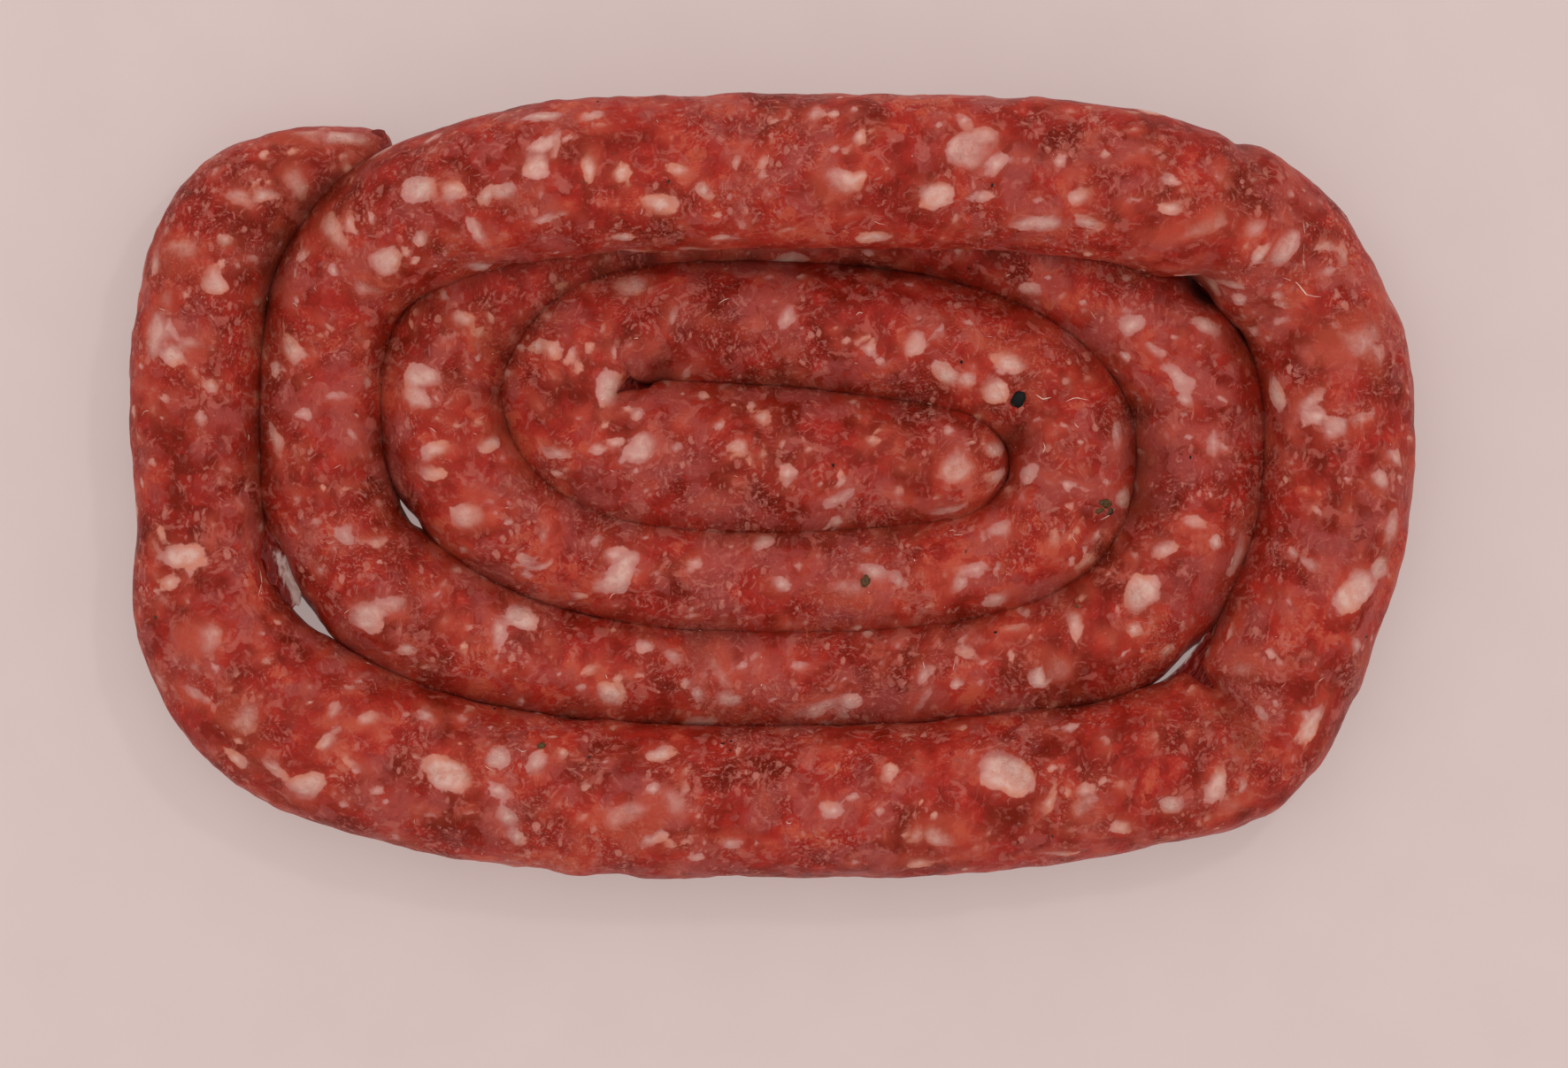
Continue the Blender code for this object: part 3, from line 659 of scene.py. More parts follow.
# The large pieces that show from above, in the order back row, then middle, then front
LAID_FAT = (
    *laid(Depth.SKIN,
          (-92.4, 34.1, 2.2, 1.6, -35), (-85.9, 51.4, 1.4, 0.5, 0), (-93.4, 16.8, 1.4, 1.1, 0),
          (-82.6, 19.8, 1.2, 0.9, 90), (-58.4, 48.9, 2.8, 2.0, 0), (-58.0, 41.4, 1.3, 1.1, 40),
          (-78.0, 12.5, 1.4, 1.0, 0), (-58.4, 18.5, 3.2, 1.7, -10), (-55.7, 2.2, 2.2, 1.1, 0),
          (-47.1, 47.9, 1.6, 1.1, 45), (-38.6, 56.4, 2.8, 1.4, 30), (-39.0, 53.1, 1.9, 1.8, 90),
          (-24.8, 52.0, 1.5, 1.3, 60), (-19.0, 47.0, 2.6, 1.6, 0), (-24.2, 41.6, 2.0, 1.1, -10),
          (-36.9, 22.7, 1.6, 1.2, 60), (-38.6, 23.9, 1.5, 1.3, 0), (-33.6, 22.2, 1.5, 0.8, 75),
          (-27.0, 16.4, 2.8, 1.8, 95), (14.4, 51.8, 1.3, 0.9, 0), (27.3, 48.1, 2.7, 1.9, 10),
          (37.5, 53.1, 2.6, 1.2, 25, 0.06), (48.1, 53.9, 1.3, 1.2, 0), (16.3, 41.4, 2.8, 1.4, 5),
          (2.9, 28.1, 2.0, 1.2, 65), (16.5, 22.7, 1.1, 1.1, 0), (17.7, 21.0, 1.0, 0.6, 0),
          (29.2, 18.5, 2.6, 1.6, -40), (37.9, 16.0, 2.0, 2.0, 0), (2.5, 2.5, 1.4, 1.2, 0),
          (37.3, 1.8, 1.7, 1.0, -20), (42.9, 2.3, 1.7, 1.4, 20), (59.8, 26.6, 2.0, 1.4, 30),
          (67.5, 18.9, 3.1, 1.2, -45), (69.0, 14.5, 1.1, 1.0, 0), (84.4, 15.6, 2.8, 1.8, -50),
          (90.3, 11.4, 2.0, 1.0, 20), (80.9, 38.1, 2.4, 1.0, 50), (77.8, 31.2, 1.4, 1.1, 85),
          (-98.4, -11.4, 4.0, 1.8, 0), (-100.5, -16.0, 1.6, 1.1, 0), (-90.3, -45.2, 2.5, 1.0, -25),
          (-77.0, -49.2, 3.3, 2.1, 40), (-65.9, -50.4, 1.3, 0.8, 10),
          (-54.0, -47.8, 4.3, 2.4, -25), (-71.3, -7.9, 1.8, 1.2, -60),
          (-41.2, -11.9, 1.6, 0.9, -50), (-25.2, -13.8, 3.5, 1.8, 55), (-41.9, -22.1, 2.5, 2.1, 0),
          (-46.1, -50.0, 1.9, 1.2, -45), (-42.9, -58.0, 1.9, 1.2, -55),
          (-18.0, -45.0, 2.6, 1.5, 20), (-12.3, -61.5, 1.2, 0.9, 0), (10.8, -2.3, 2.5, 1.1, 40),
          (12.9, -36.0, 2.0, 1.3, 10), (45.0, -31.7, 2.1, 1.7, 90), (38.6, -47.4, 4.4, 3.1, -25),
          (19.4, -47.1, 1.5, 1.1, 80), (10.6, -54.2, 1.9, 1.2, 0), (49.8, -40.2, 1.2, 1.0, 30),
          (61.5, -17.9, 3.2, 2.5, 60), (74.0, -9.2, 1.2, 1.2, 0), (97.2, -17.9, 4.4, 2.6, 40),
          (89.8, -40.0, 3.5, 1.5, 62), (81.9, -37.9, 1.5, 0.6, -55), (74.0, -49.6, 2.9, 1.5, 75),
          (82.8, -27.9, 0.9, 0.8, 0), (2.7, 38.3, 3.2, 1.1, 0), (-37.9, 61.6, 3.0, 1.2, 20),
          (-56.7, 57.9, 1.8, 1.2, 30), (-37.3, 44.1, 1.9, 0.9, 15), (65.9, 50.4, 1.4, 0.9, -10),
          (-30.4, 61.2, 2.0, 1.0, 0), (65.7, 46.2, 1.8, 0.9, 0), (35.0, 47.7, 2.2, 0.9, 10),
          (14.6, 57.7, 1.6, 1.0, 70), (-22.5, 38.9, 2.6, 0.9, 0), (-101.8, -8.1, 1.3, 0.9, -60),
          (76.7, 33.9, 1.8, 0.9, 20), (-25.7, 7.7, 1.5, 0.9, 10)),
    *laid(Depth.SHALLOW,
          (-73.0, 58.1, 2.9, 1.7, 5), (-84.7, 48.5, 2.4, 1.2, 0), (-91.3, 41.4, 1.3, 1.1, 0),
          (-100.1, 26.8, 2.0, 0.9, -70), (-100.1, 21.8, 2.0, 1.9, 0), (-80.3, 22.9, 2.6, 1.5, -50),
          (-78.0, 38.7, 1.6, 0.8, 10), (-70.3, 43.9, 2.0, 1.0, -65), (-64.2, 37.2, 2.7, 2.1, 40),
          (-72.6, 15.0, 1.9, 0.8, 0), (-83.0, 8.1, 2.6, 1.0, -55), (-59.2, 14.3, 2.6, 1.8, -20),
          (-55.9, 6.4, 2.6, 1.2, 10), (-95.5, 11.8, 1.4, 0.7, 90), (-52.7, 48.5, 2.4, 1.6, 0),
          (-30.0, 52.7, 2.2, 1.1, 90), (-15.0, 52.5, 1.8, 1.0, -20), (-11.5, 48.9, 1.1, 1.0, 0),
          (-49.2, 42.5, 2.4, 1.0, -65), (-8.2, 41.6, 2.4, 1.0, 5), (-1.9, 53.9, 1.6, 0.6, 50),
          (-6.1, 53.5, 1.3, 0.6, 80), (-22.4, 6.0, 2.8, 2.0, 30), (-29.0, 6.8, 1.1, 1.0, 0),
          (-36.1, 5.6, 2.4, 0.8, 0), (-5.7, 6.4, 1.6, 1.4, 0), (-47.3, 7.3, 2.2, 1.3, 30),
          (-21.9, 12.7, 1.0, 1.0, 0), (-1.1, 11.4, 1.5, 1.2, 0), (31.7, 61.0, 1.8, 1.0, -60),
          (51.3, 48.3, 1.6, 1.3, 0), (45.8, 43.5, 2.4, 1.6, -20), (52.5, 43.9, 2.2, 1.2, -30),
          (42.9, 32.9, 2.0, 1.2, 10), (24.0, 23.5, 2.2, 1.6, 60), (40.4, 21.0, 2.6, 1.8, 0),
          (16.3, 8.1, 1.2, 0.9, 0), (63.5, 22.5, 2.0, 0.8, -30), (72.3, 26.8, 2.4, 1.3, -10),
          (73.8, 7.7, 1.8, 1.0, 80), (57.8, 8.1, 2.0, 0.9, 80), (94.0, 9.8, 2.0, 1.7, 0),
          (104.0, 5.4, 1.6, 1.2, 0), (92.0, 40.4, 2.2, 0.8, 5, -0.1), (95.0, 38.6, 1.9, 0.8, 95),
          (92.5, 35.8, 1.8, 0.7, 15), (85.3, 30.5, 1.4, 0.6, -20), (85.2, 27.8, 1.5, 0.6, 15),
          (-83.0, -46.3, 2.6, 1.1, -55), (-74.7, -42.5, 1.8, 1.0, 30),
          (-70.5, -45.8, 2.0, 0.7, -45), (-65.9, -9.2, 2.2, 0.9, 0), (-67.0, -21.7, 2.6, 2.3, 0),
          (-60.9, -27.5, 1.6, 1.2, 0), (-38.9, -12.9, 1.9, 0.6, 20, 0.15),
          (-26.6, -11.3, 1.8, 1.2, 20), (-29.4, -8.8, 1.2, 1.0, 60), (-32.3, -17.9, 1.2, 0.8, 20),
          (-12.8, -12.5, 1.5, 1.2, 0), (-2.1, -9.4, 1.7, 1.4, 0), (-45.5, -24.2, 2.4, 1.4, 90),
          (-21.3, -26.2, 1.5, 1.2, 0), (-30.3, -30.8, 1.5, 0.8, 30), (-27.1, -34.8, 2.4, 2.0, 0),
          (-12.3, -34.2, 1.5, 1.0, -60), (-11.5, -39.2, 2.4, 0.9, 0), (-45.9, -45.6, 2.0, 1.9, 0),
          (-39.0, -46.3, 2.0, 1.4, 60), (-34.8, -44.2, 1.1, 1.1, 0), (-44.8, -55.0, 2.2, 1.4, -60),
          (-19.8, -50.0, 1.3, 1.2, 0), (-14.4, -50.8, 1.8, 0.6, -70), (-20.3, -58.5, 2.4, 1.0, 25),
          (11.0, -5.4, 1.4, 1.0, 90), (29.2, -4.0, 2.2, 0.7, 25), (1.9, -16.6, 1.6, 1.1, -20),
          (17.5, -14.2, 2.4, 1.3, -20), (20.8, -16.0, 1.8, 0.8, -50), (32.9, -14.2, 2.6, 1.1, 10),
          (37.7, -18.7, 2.2, 1.2, 25), (47.5, -8.8, 1.6, 0.8, 80), (52.1, -12.5, 2.2, 0.9, 35),
          (4.2, -30.0, 1.3, 0.7, 10), (26.0, -31.3, 1.6, 0.9, 60), (32.3, -27.3, 2.0, 1.0, -20),
          (50.4, -23.1, 2.6, 1.2, -70), (46.3, -52.5, 2.6, 0.9, 65), (52.1, -50.6, 1.6, 1.3, 0),
          (24.0, -62.5, 2.4, 1.2, 0), (47.9, -61.3, 2.8, 0.7, 5), (65.3, -10.6, 2.2, 1.3, 15),
          (77.5, -11.7, 3.4, 0.9, 75, 0.05), (58.6, -1.7, 1.6, 1.6, 0), (60.0, -23.8, 1.3, 1.1, 0),
          (66.5, -27.1, 1.4, 0.9, 40), (101.6, -12.9, 2.0, 1.8, 0), (89.8, -12.5, 1.5, 0.8, -20),
          (66.1, -52.9, 2.2, 1.5, 0), (58.6, -57.1, 1.7, 1.2, -20), (76.9, -24.2, 1.7, 0.7, 55),
          (97.5, -26.5, 1.4, 0.9, -30), (-44.6, 48.5, 2.2, 1.4, 0), (-103.2, 37.3, 2.6, 0.9, -80),
          (41.3, 44.1, 2.0, 1.3, 0)),
    *laid(Depth.VEILED,
          (-79.2, 51.0, 2.6, 1.5, -60), (-51.9, 28.0, 1.8, 1.6, 0), (30.4, 3.5, 2.9, 2.3, 30),
          (-72.8, -37.5, 1.8, 1.0, 70), (69.6, -6.5, 2.2, 1.2, 0), (-50.7, -5.4, 2.8, 1.9, 0),
          (103.1, -7.4, 2.8, 1.6, 85), (-103.0, 25.0, 4.0, 2.2, 80), (-88.5, 48.6, 2.6, 1.5, -10),
          (-68.4, 58.1, 1.8, 1.3, 120), (-36.0, 58.0, 3.0, 1.0, 85), (-24.0, 33.9, 2.4, 1.6, 0),
          (7.3, 61.8, 2.0, 1.3, 80), (35.4, 57.9, 2.2, 1.8, 0), (32.1, 17.3, 2.0, 1.4, 0),
          (98.2, 11.6, 2.4, 1.2, 30), (37.1, 6.8, 2.0, 1.8, 0), (101.1, 22.3, 2.0, 1.0, 70),
          (79.8, 43.3, 1.8, 1.1, 45), (-96.3, -34.6, 3.0, 1.0, -10), (-102.0, -32.5, 1.8, 1.2, 70),
          (-64.2, -20.0, 2.4, 1.6, 0), (-67.2, -38.8, 1.7, 1.2, 0), (-28.2, -16.3, 2.0, 1.5, 0),
          (-6.9, -35.8, 2.2, 1.4, 0), (-16.3, -28.1, 1.6, 1.2, 0), (8.3, -36.3, 4.4, 1.5, 25),
          (24.6, -35.8, 2.4, 0.7, 65), (30.8, -16.3, 1.6, 1.5, 0), (23.8, -58.3, 1.8, 1.2, 90),
          (37.9, -7.5, 2.0, 1.4, 0), (39.6, -23.5, 2.6, 0.8, -5), (-57.6, -37.7, 1.5, 1.4, 0),
          (-38.2, -7.7, 2.4, 0.6, 80), (-16.9, 28.9, 1.9, 0.8, 75), (89.4, 14.3, 2.8, 1.4, 30),
          (-7.3, -58.8, 1.7, 1.1, 0), (101.1, 1.0, 1.8, 1.5, 0), (33.0, 55.6, 3.8, 3.0, 0),
          (84.8, 39.3, 3.8, 2.2, 40), (11.0, 50.6, 3.0, 2.2, 0), (-73.4, 42.2, 3.8, 1.8, -45)),
    *laid(Depth.BURIED,
          (-78.5, 58.5, 3.5, 2.0, 0), (-66.3, 33.5, 2.5, 1.6, 0), (-99.2, 38.9, 3.2, 2.4, 0),
          (-97.0, 22.7, 2.4, 1.6, 0), (98.2, 26.8, 3.4, 2.4, 0), (95.7, 23.7, 4.2, 2.6, 0),
          (69.8, 42.7, 5.0, 1.6, 15), (-95.5, -25.8, 3.2, 2.5, 0), (-88.8, -37.9, 3.4, 2.5, 0),
          (-18.0, -52.5, 3.2, 2.0, 0), (-23.0, -56.0, 4.2, 3.0, 0), (12.5, -18.0, 3.2, 1.7, 0),
          (46.7, -30.0, 3.0, 2.3, 0), (28.8, -57.5, 3.0, 2.2, 0), (77.3, -52.5, 2.6, 1.6, 30),
          (79.0, -29.6, 2.4, 1.7, 0), (-8.6, -30.8, 4.0, 1.4, -60), (53.0, -54.0, 2.6, 2.0, 0),
          (-101.4, 30.2, 2.2, 1.4, 60)),
)


@dataclass
class Mince:
    """Where fat shows through the skin, as a distance to its nearest edge.

    Listed pieces come first, and others are scattered over the whole rope with a
    seed, none on the middle of another. Only small ones are scattered over the top, where
    the large ones are laid. Sizes are in millimetres.
    """

    skin: Skin
    laid: Sequence[Fat] = ()
    scattered: int = 2300
    top_facing: float = 0.30
    top_size: float = 1.0
    seed: int = 11
    far: float = 8.0
    wobble: float = 0.34
    dive: float = 0.62
    laid_scale: float = 1.12
    edge: np.ndarray = field(init=False)
    buried: np.ndarray = field(init=False)

    def settle(self) -> None:
        """Lay and scatter every piece, and keep the edge distance and depth fields."""
        self.edge = np.full(self.skin.points.shape[:2], self.far * MM)
        self.buried = np.zeros_like(self.edge)
        coarse, fine = Noise(self.seed), Noise(self.seed + 1)
        self._shake = self.wobble * MM * (coarse.at(self.skin.points, 1.9 * MM)
                                          + 0.6 * fine.at(self.skin.points, 1.0 * MM))
        dice = np.random.default_rng(self.seed)
        for piece in self.laid:
            ring, side = self.skin.top_point(piece.x * MM, piece.y * MM)
            heading = math.radians(piece.heading)
            toward = np.array((math.cos(heading), math.sin(heading), 0.0))
            piece = piece._replace(long=piece.long * self.laid_scale,
                                   wide=piece.wide * self.laid_scale)
            self._lay(ring, side, toward, piece, dice.uniform(-1.0, 1.0, 4))
        self._scatter(dice)

    def _scatter(self, dice: np.random.Generator) -> None:
        """Strew pieces at random; most are small, and deep ones are larger."""
        rings, around = self.edge.shape
        for _ in range(self.scattered):
            ring = int(dice.integers(12, rings - 6))
            side = int(dice.integers(around))
            size = 0.45 + 2.3 * dice.random() ** 3.2
            slim = dice.uniform(0.40, 0.95)
            heading = dice.uniform(0.0, 360.0)
            depth = dice.choice((Depth.SKIN, Depth.SHALLOW, Depth.VEILED, Depth.BURIED),
                                p=(0.20, 0.28, 0.28, 0.24))
            curl = dice.normal(0.0, 0.08)
            toward = dice.normal(size=3)
            whims = dice.uniform(-1.0, 1.0, 4)
            if self.edge[ring, side] < 0.5 * MM:
                continue
            if depth is Depth.BURIED:
                size *= 1.5
            if self.skin.rays[ring, side, 2] > self.top_facing:
                size = min(size, self.top_size)
            piece = Fat(0.0, 0.0, size, size * slim, heading, depth, curl)
            self._lay(ring, side, toward, piece, whims)

    def _lay(self, ring: int, side: int, toward: np.ndarray, piece: Fat,
             whims: np.ndarray) -> None:
        """Lower the edge distance round one piece.

        The distance is that to a superellipsoid, taken as its own radial share less one,
        times its half width. Curl bends the long axis into an arc. Four whims from -1 to
        1 tell how it dives under the skin along and across itself, how square its corners
        are and how much narrower one end is.
        """
        skin = self.skin
        rings = len(skin.stations)
        reach = (piece.long + 4.0) * MM
        near = np.abs(skin.stations - skin.stations[ring]) < 2.2 * reach
        low, high = np.flatnonzero(near)[[0, -1]]
        high = min(high + 1, rings)
        outward = unit(skin.rays[ring, side])
        ahead = unit(toward - (toward @ outward) * outward)
        across = np.cross(outward, ahead)
        offset = (skin.points[low:high] - skin.points[ring, side]) / MM
        u, v, w = offset @ ahead, offset @ across, offset @ outward
        u, v, w = u / piece.long, (v - piece.curl * u * u) / piece.wide, w / (piece.long + 1.5)
        v = v / (1.0 + 0.35 * whims[3] * np.clip(u, -1.0, 1.0))
        power = 2.5 + 0.9 * whims[2]
        share = (np.abs(u) ** power + np.abs(v) ** power + np.abs(w) ** power) ** (1.0 / power)
        shake = self._shake[low:high] * min(1.0, piece.wide / 1.3)
        distance = (share - 1.0) * piece.wide * MM + shake
        tilt = (whims[0] * u + whims[1] * v) * self.dive
        depth = np.clip(piece.depth.value + np.clip(tilt, -0.5, 0.6), 0.0, 1.0)
        block = self.edge[low:high]
        nearer = distance < block
        self.buried[low:high] = np.where(nearer, depth, self.buried[low:high])
        self.edge[low:high] = np.where(nearer, distance, block)


# --------------------------------------------------------------------------------------
# Finishes
# --------------------------------------------------------------------------------------

Socket = bpy.types.NodeSocket


class NodeTree:
    """Short calls that build one material out of nodes, with sizes in millimetres."""

    def __init__(self, name: str) -> None:
        """Args: name: the material's name."""
        self.material = bpy.data.materials.new(name)
        self.material.use_nodes = True
        self.tree = self.material.node_tree
        self.tree.nodes.clear()
        self.output = self.tree.nodes.new("ShaderNodeOutputMaterial")
        place = self.tree.nodes.new("ShaderNodeTexCoord").outputs["Object"]
        self.place = self.vector("SCALE", place, scale=1.0 / MM)

    def node(self, kind: str, inputs: dict[str | int, object],
             **settings: object) -> bpy.types.Node:
        """Add a node.

        Args:
            kind: the node type's name after ShaderNode.
            inputs: values or sockets, by the input's name or number.
            settings: the node's own properties.

        Returns:
            The node.
        """
        made = self.tree.nodes.new("ShaderNode" + kind)
        for key, value in settings.items():
            setattr(made, key, value)
        for key, value in inputs.items():
            if isinstance(value, Socket):
                self.tree.links.new(value, made.inputs[key])
            else:
                made.inputs[key].default_value = value
        return made

    def math(self, kind: str, *terms: Socket | float) -> Socket:
        """The result of a Math node."""
        return self.node("Math", dict(enumerate(terms)), operation=kind).outputs[0]

    def vector(self, kind: str, *terms: object, scale: float = 1.0) -> Socket:
        """The result of a Vector Math node."""
        inputs = dict(enumerate(terms))
        if kind == "SCALE":
            inputs["Scale"] = scale
        return self.node("VectorMath", inputs, operation=kind).outputs[0]

    def noise(self, place: Socket, size: float, detail: float = 2.0,
              distortion: float = 0.0, rough: float = 0.5) -> bpy.types.Node:
        """Cloudy noise of a wavelength."""
        inputs = {"Vector": place, "Scale": 1.0 / size, "Detail": detail,
                  "Roughness": rough, "Distortion": distortion}
        return self.node("TexNoise", inputs)

    def cells(self, place: Socket, size: float, feature: str = "F1",
              **inputs: float) -> bpy.types.Node:
        """Irregular cells of a size."""
        values = {"Vector": place, "Scale": 1.0 / size, **inputs}
        return self.node("TexVoronoi", values, feature=feature)

    def rise(self, value: Socket, start: float, end: float) -> Socket:
        """0 at start and 1 at end, smoothly; start may be the greater."""
        inputs = {"Value": value, "From Min": start, "From Max": end}
        return self.node("MapRange", inputs, interpolation_type="SMOOTHSTEP").outputs[0]

    def mix(self, share: Socket | float, first: Socket | Colour,
            second: Socket | Colour, blend: str = "MIX") -> Socket:
        """One colour passing to another, or blended over it."""
        made = self.node("Mix", {}, data_type="RGBA", blend_type=blend)
        for key, value in ((0, share), (6, first), (7, second)):
            if isinstance(value, Socket):
                self.tree.links.new(value, made.inputs[key])
            else:
                made.inputs[key].default_value = value
        return made.outputs[2]

    def ramp(self, value: Socket, stops: Sequence[tuple[float, Colour]]) -> Socket:
        """A colour for each value, blended between stops."""
        made = self.node("ValToRGB", {0: value})
        bar = made.color_ramp
        while len(bar.elements) < len(stops):
            bar.elements.new(1.0)
        for element, (place, colour) in zip(bar.elements, stops):
            element.position = place
            element.color = colour
        return made.outputs[0]

    def warped(self, place: Socket, size: float, reach: float) -> Socket:
        """Places pushed about by noise of a wavelength, as far as reach each way."""
        cloud = self.noise(place, size).outputs["Color"]
        push = self.vector("SUBTRACT", cloud, (0.5, 0.5, 0.5))
        return self.vector("ADD", place, self.vector("SCALE", push, scale=2.0 * reach))

    def value(self, name: str) -> Socket:
        """The number that the mesh keeps under a name."""
        return self.node("Attribute", {}, attribute_name=name).outputs["Fac"]

    def channels(self, colour: Socket) -> list[Socket]:
        """The red, green and blue of a colour, as three random numbers."""
        return list(self.node("SeparateColor", {0: colour}).outputs)

    def shade(self, colour: Socket, rough: Socket | float, height: Socket | None,
              **constants: object) -> bpy.types.Material:
        """Finish the material with a Principled shader.

        Args:
            colour: its base colour.
            rough: its roughness.
            height: relief in millimetres that bends the light, or None.
            constants: other inputs, with spaces as underscores.

        Returns:
            The material.
        """
        inputs = {"Base Color": colour, "Roughness": rough}
        inputs.update({key.replace("_", " "): value for key, value in constants.items()})
        if height is not None:
            bump = self.node("Bump", {"Height": height, "Distance": MM, "Strength": 1.0})
            inputs["Normal"] = bump.outputs[0]
        shader = self.node("BsdfPrincipled", inputs)
        self.tree.links.new(shader.outputs[0], self.output.inputs["Surface"])
        return self.material


@dataclass(frozen=True)
class MeatFinish:
    """Coarse-ground meat and fat, seen through a thin moist skin."""

    # Colour of small dark pits in rough patches, and of the painted shade in creases
    pit_and_crease_shade: Colour = paint(70, 18, 5)
    dark: Colour = paint(111, 23, 7)
    lean: Colour = paint(139, 32, 21)
    bright: Colour = paint(164, 41, 31)
    rosy: Colour = paint(160, 71, 65)
    lilac: Colour = paint(168, 98, 100)
    glow: Colour = paint(182, 76, 55)
    fat: Colour = paint(197, 132, 120)
    warm_fat: Colour = paint(201, 118, 88)
    pale_fat: Colour = paint(210, 169, 157)
    fibre: Colour = paint(196, 122, 108)
    sinew: Colour = paint(184, 100, 88)
    speck: Colour = paint(48, 26, 20)
    # Redder tint of the painted shade in creases
    crease_shade_tint: Sequence[float] = (1.0, 0.92, 0.80)

    def dress(self) -> bpy.types.Material:
        """Build the material.

        Returns:
            A material that reads the tone and fat values from the mesh, and the
            crease shade value that paints shade into its colour.
        """
        n = NodeTree("ground_meat_under_skin")
        curly = n.warped(n.place, 1.7, 0.7)
        grit = n.noise(curly, 0.50, 3.0, rough=0.62).outputs["Fac"]
        colour, height = self._lean(n, curly, grit)
        colour, height = self._smears(n, curly, colour, height)
        colour, height = self._crumbs(n, curly, colour, height)
        colour, height = self._fat(n, curly, grit, colour, height)
        # Painted shade: redder, then darker, by the crease shade value in creases and at the shade
        # spots
        crease_shade_tint = n.vector("MULTIPLY", colour, self.crease_shade_tint)
        colour = n.mix(n.value("crease_shade"), colour, crease_shade_tint)
        colour = n.mix(n.math("MULTIPLY", n.value("crease_shade"), 0.47), colour, self.pit_and_crease_shade)
        rough = n.math("ADD", 0.24, n.math("MULTIPLY", 0.24, grit))
        return n.shade(colour, rough, height, IOR=1.40, Specular_IOR_Level=0.11,
                       Subsurface_Weight=0.42, Subsurface_Radius=(1.0, 0.28, 0.16),
                       Subsurface_Scale=1.9 * MM)

    def _lean(self, n: NodeTree, curly: Socket, grit: Socket) -> tuple[Socket, Socket]:
        """Lean meat: bits of different reds with crisp edges, each with its own grain.

        Where the tissue value is high the meat is coarse and busy, elsewhere calm.
        """
        tone, tint = n.value("lean_tone"), n.value("lean_tint")
        busy = n.rise(n.value("tissue"), 0.36, 0.66)
        bit = n.cells(n.warped(curly, 0.9, 0.4), 2.5)
        pick, turn, own = n.channels(bit.outputs["Color"])
        tone = n.math("ADD", tone, n.math("MULTIPLY", n.math("SUBTRACT", own, 0.5), 0.32))
        fine = n.math("ADD", 0.45, n.math("MULTIPLY", busy, 0.5))
        tone = n.math("ADD", tone, n.math("MULTIPLY", n.math("SUBTRACT", grit, 0.5), fine))
        tint = n.math("ADD", tint, n.math("MULTIPLY", n.math("SUBTRACT", pick, 0.5), 0.46))
        stops = ((0.02, self.dark), (0.42, self.lean), (0.80, self.bright),
                 (1.0, self.glow))
        colour = n.ramp(tone, stops)
        colour = n.mix(n.math("MULTIPLY", n.rise(tint, 0.50, 0.95), 0.75), colour,
                       self.rosy)
        bent = n.vector("ADD", n.place, n.vector("SCALE", curly, scale=1.0))
        turned = n.node("VectorRotate", {"Vector": bent, "Angle": n.math(
            "MULTIPLY", turn, 14.0), "Axis": (0.3, 0.4, 0.86)}).outputs[0]
        along = n.vector("MULTIPLY", turned, (0.50, 0.11, 0.28))
        grain = n.noise(along, 0.62, 2.0).outputs["Fac"]
        streak = n.rise(grain, 0.56, 0.66)
        colour = n.mix(n.math("MULTIPLY", streak, n.math(
            "ADD", 0.12, n.math("MULTIPLY", busy, 0.40))), colour, self.fibre)
        furrow = n.rise(grain, 0.43, 0.30)
        colour = n.mix(n.math("MULTIPLY", furrow, 0.30), colour, self.dark)
        rough_patch = n.rise(n.value("tissue"), 0.52, 0.80)
        pale = n.math("MULTIPLY", n.rise(grit, 0.54, 0.70), rough_patch)
        pits = n.math("MULTIPLY", n.rise(grit, 0.45, 0.33), rough_patch)
        colour = n.mix(n.math("MULTIPLY", pale, 0.60), colour, self.fibre)
        colour = n.mix(n.math("MULTIPLY", pits, 0.12), colour, self.pit_and_crease_shade)
        height = n.math("ADD", n.math("MULTIPLY", grain, 0.16), n.math(
            "MULTIPLY", grit, n.math("ADD", 0.14, n.math("MULTIPLY", rough_patch, 0.40))))
        return colour, height

    def _smears(self, n: NodeTree, curly: Socket, colour: Socket,
                height: Socket) -> tuple[Socket, Socket]:
        """Fat and sinew ground fine and smeared into curls, thin enough to see through."""
        swirl = n.noise(curly, 3.4, 4.0, 1.1, 0.60).outputs["Fac"]
        smear = n.rise(swirl, 0.55, 0.64)
        colour = n.mix(n.math("MULTIPLY", smear, 0.52), colour, self.sinew)
        deep = n.rise(swirl, 0.42, 0.30)
        colour = n.mix(n.math("MULTIPLY", deep, 0.30), colour, self.dark)
        return colour, n.math("ADD", height, n.math("MULTIPLY", smear, 0.07))

    def _crumbs(self, n: NodeTree, curly: Socket, colour: Socket,
                height: Socket) -> tuple[Socket, Socket]:
        """Crumbs of fat too small to lay, soft and slightly drawn out, in a few cells."""
        drawn = n.vector("MULTIPLY", curly, (1.0, 0.62, 0.8))
        cell = n.cells(drawn, 1.35)
        pick, girth, veil = n.channels(cell.outputs["Color"])
        share = n.math("DIVIDE", cell.outputs["Distance"],
                       n.math("ADD", n.math("MULTIPLY", girth, 0.30), 0.22))
        body = n.math("MULTIPLY", n.rise(share, 1.05, 0.65), n.rise(pick, 0.66, 0.70))
        body = n.math("MULTIPLY", body, n.math("ADD", 0.3, n.rise(
            n.value("tissue"), 0.36, 0.70)))
        seen = n.math("MULTIPLY", body, n.math("ADD", n.math("MULTIPLY", veil, 0.62),
                                               0.12))
        colour = n.mix(seen, colour, self.fibre)
        spot = n.math("MULTIPLY", n.rise(cell.outputs["Distance"], 0.16, 0.10),
                      n.rise(pick, 0.012, 0.008))
        colour = n.mix(n.math("MULTIPLY", spot, 0.85), colour, self.speck)
        return colour, n.math("ADD", height, n.math("MULTIPLY", body, 0.05))

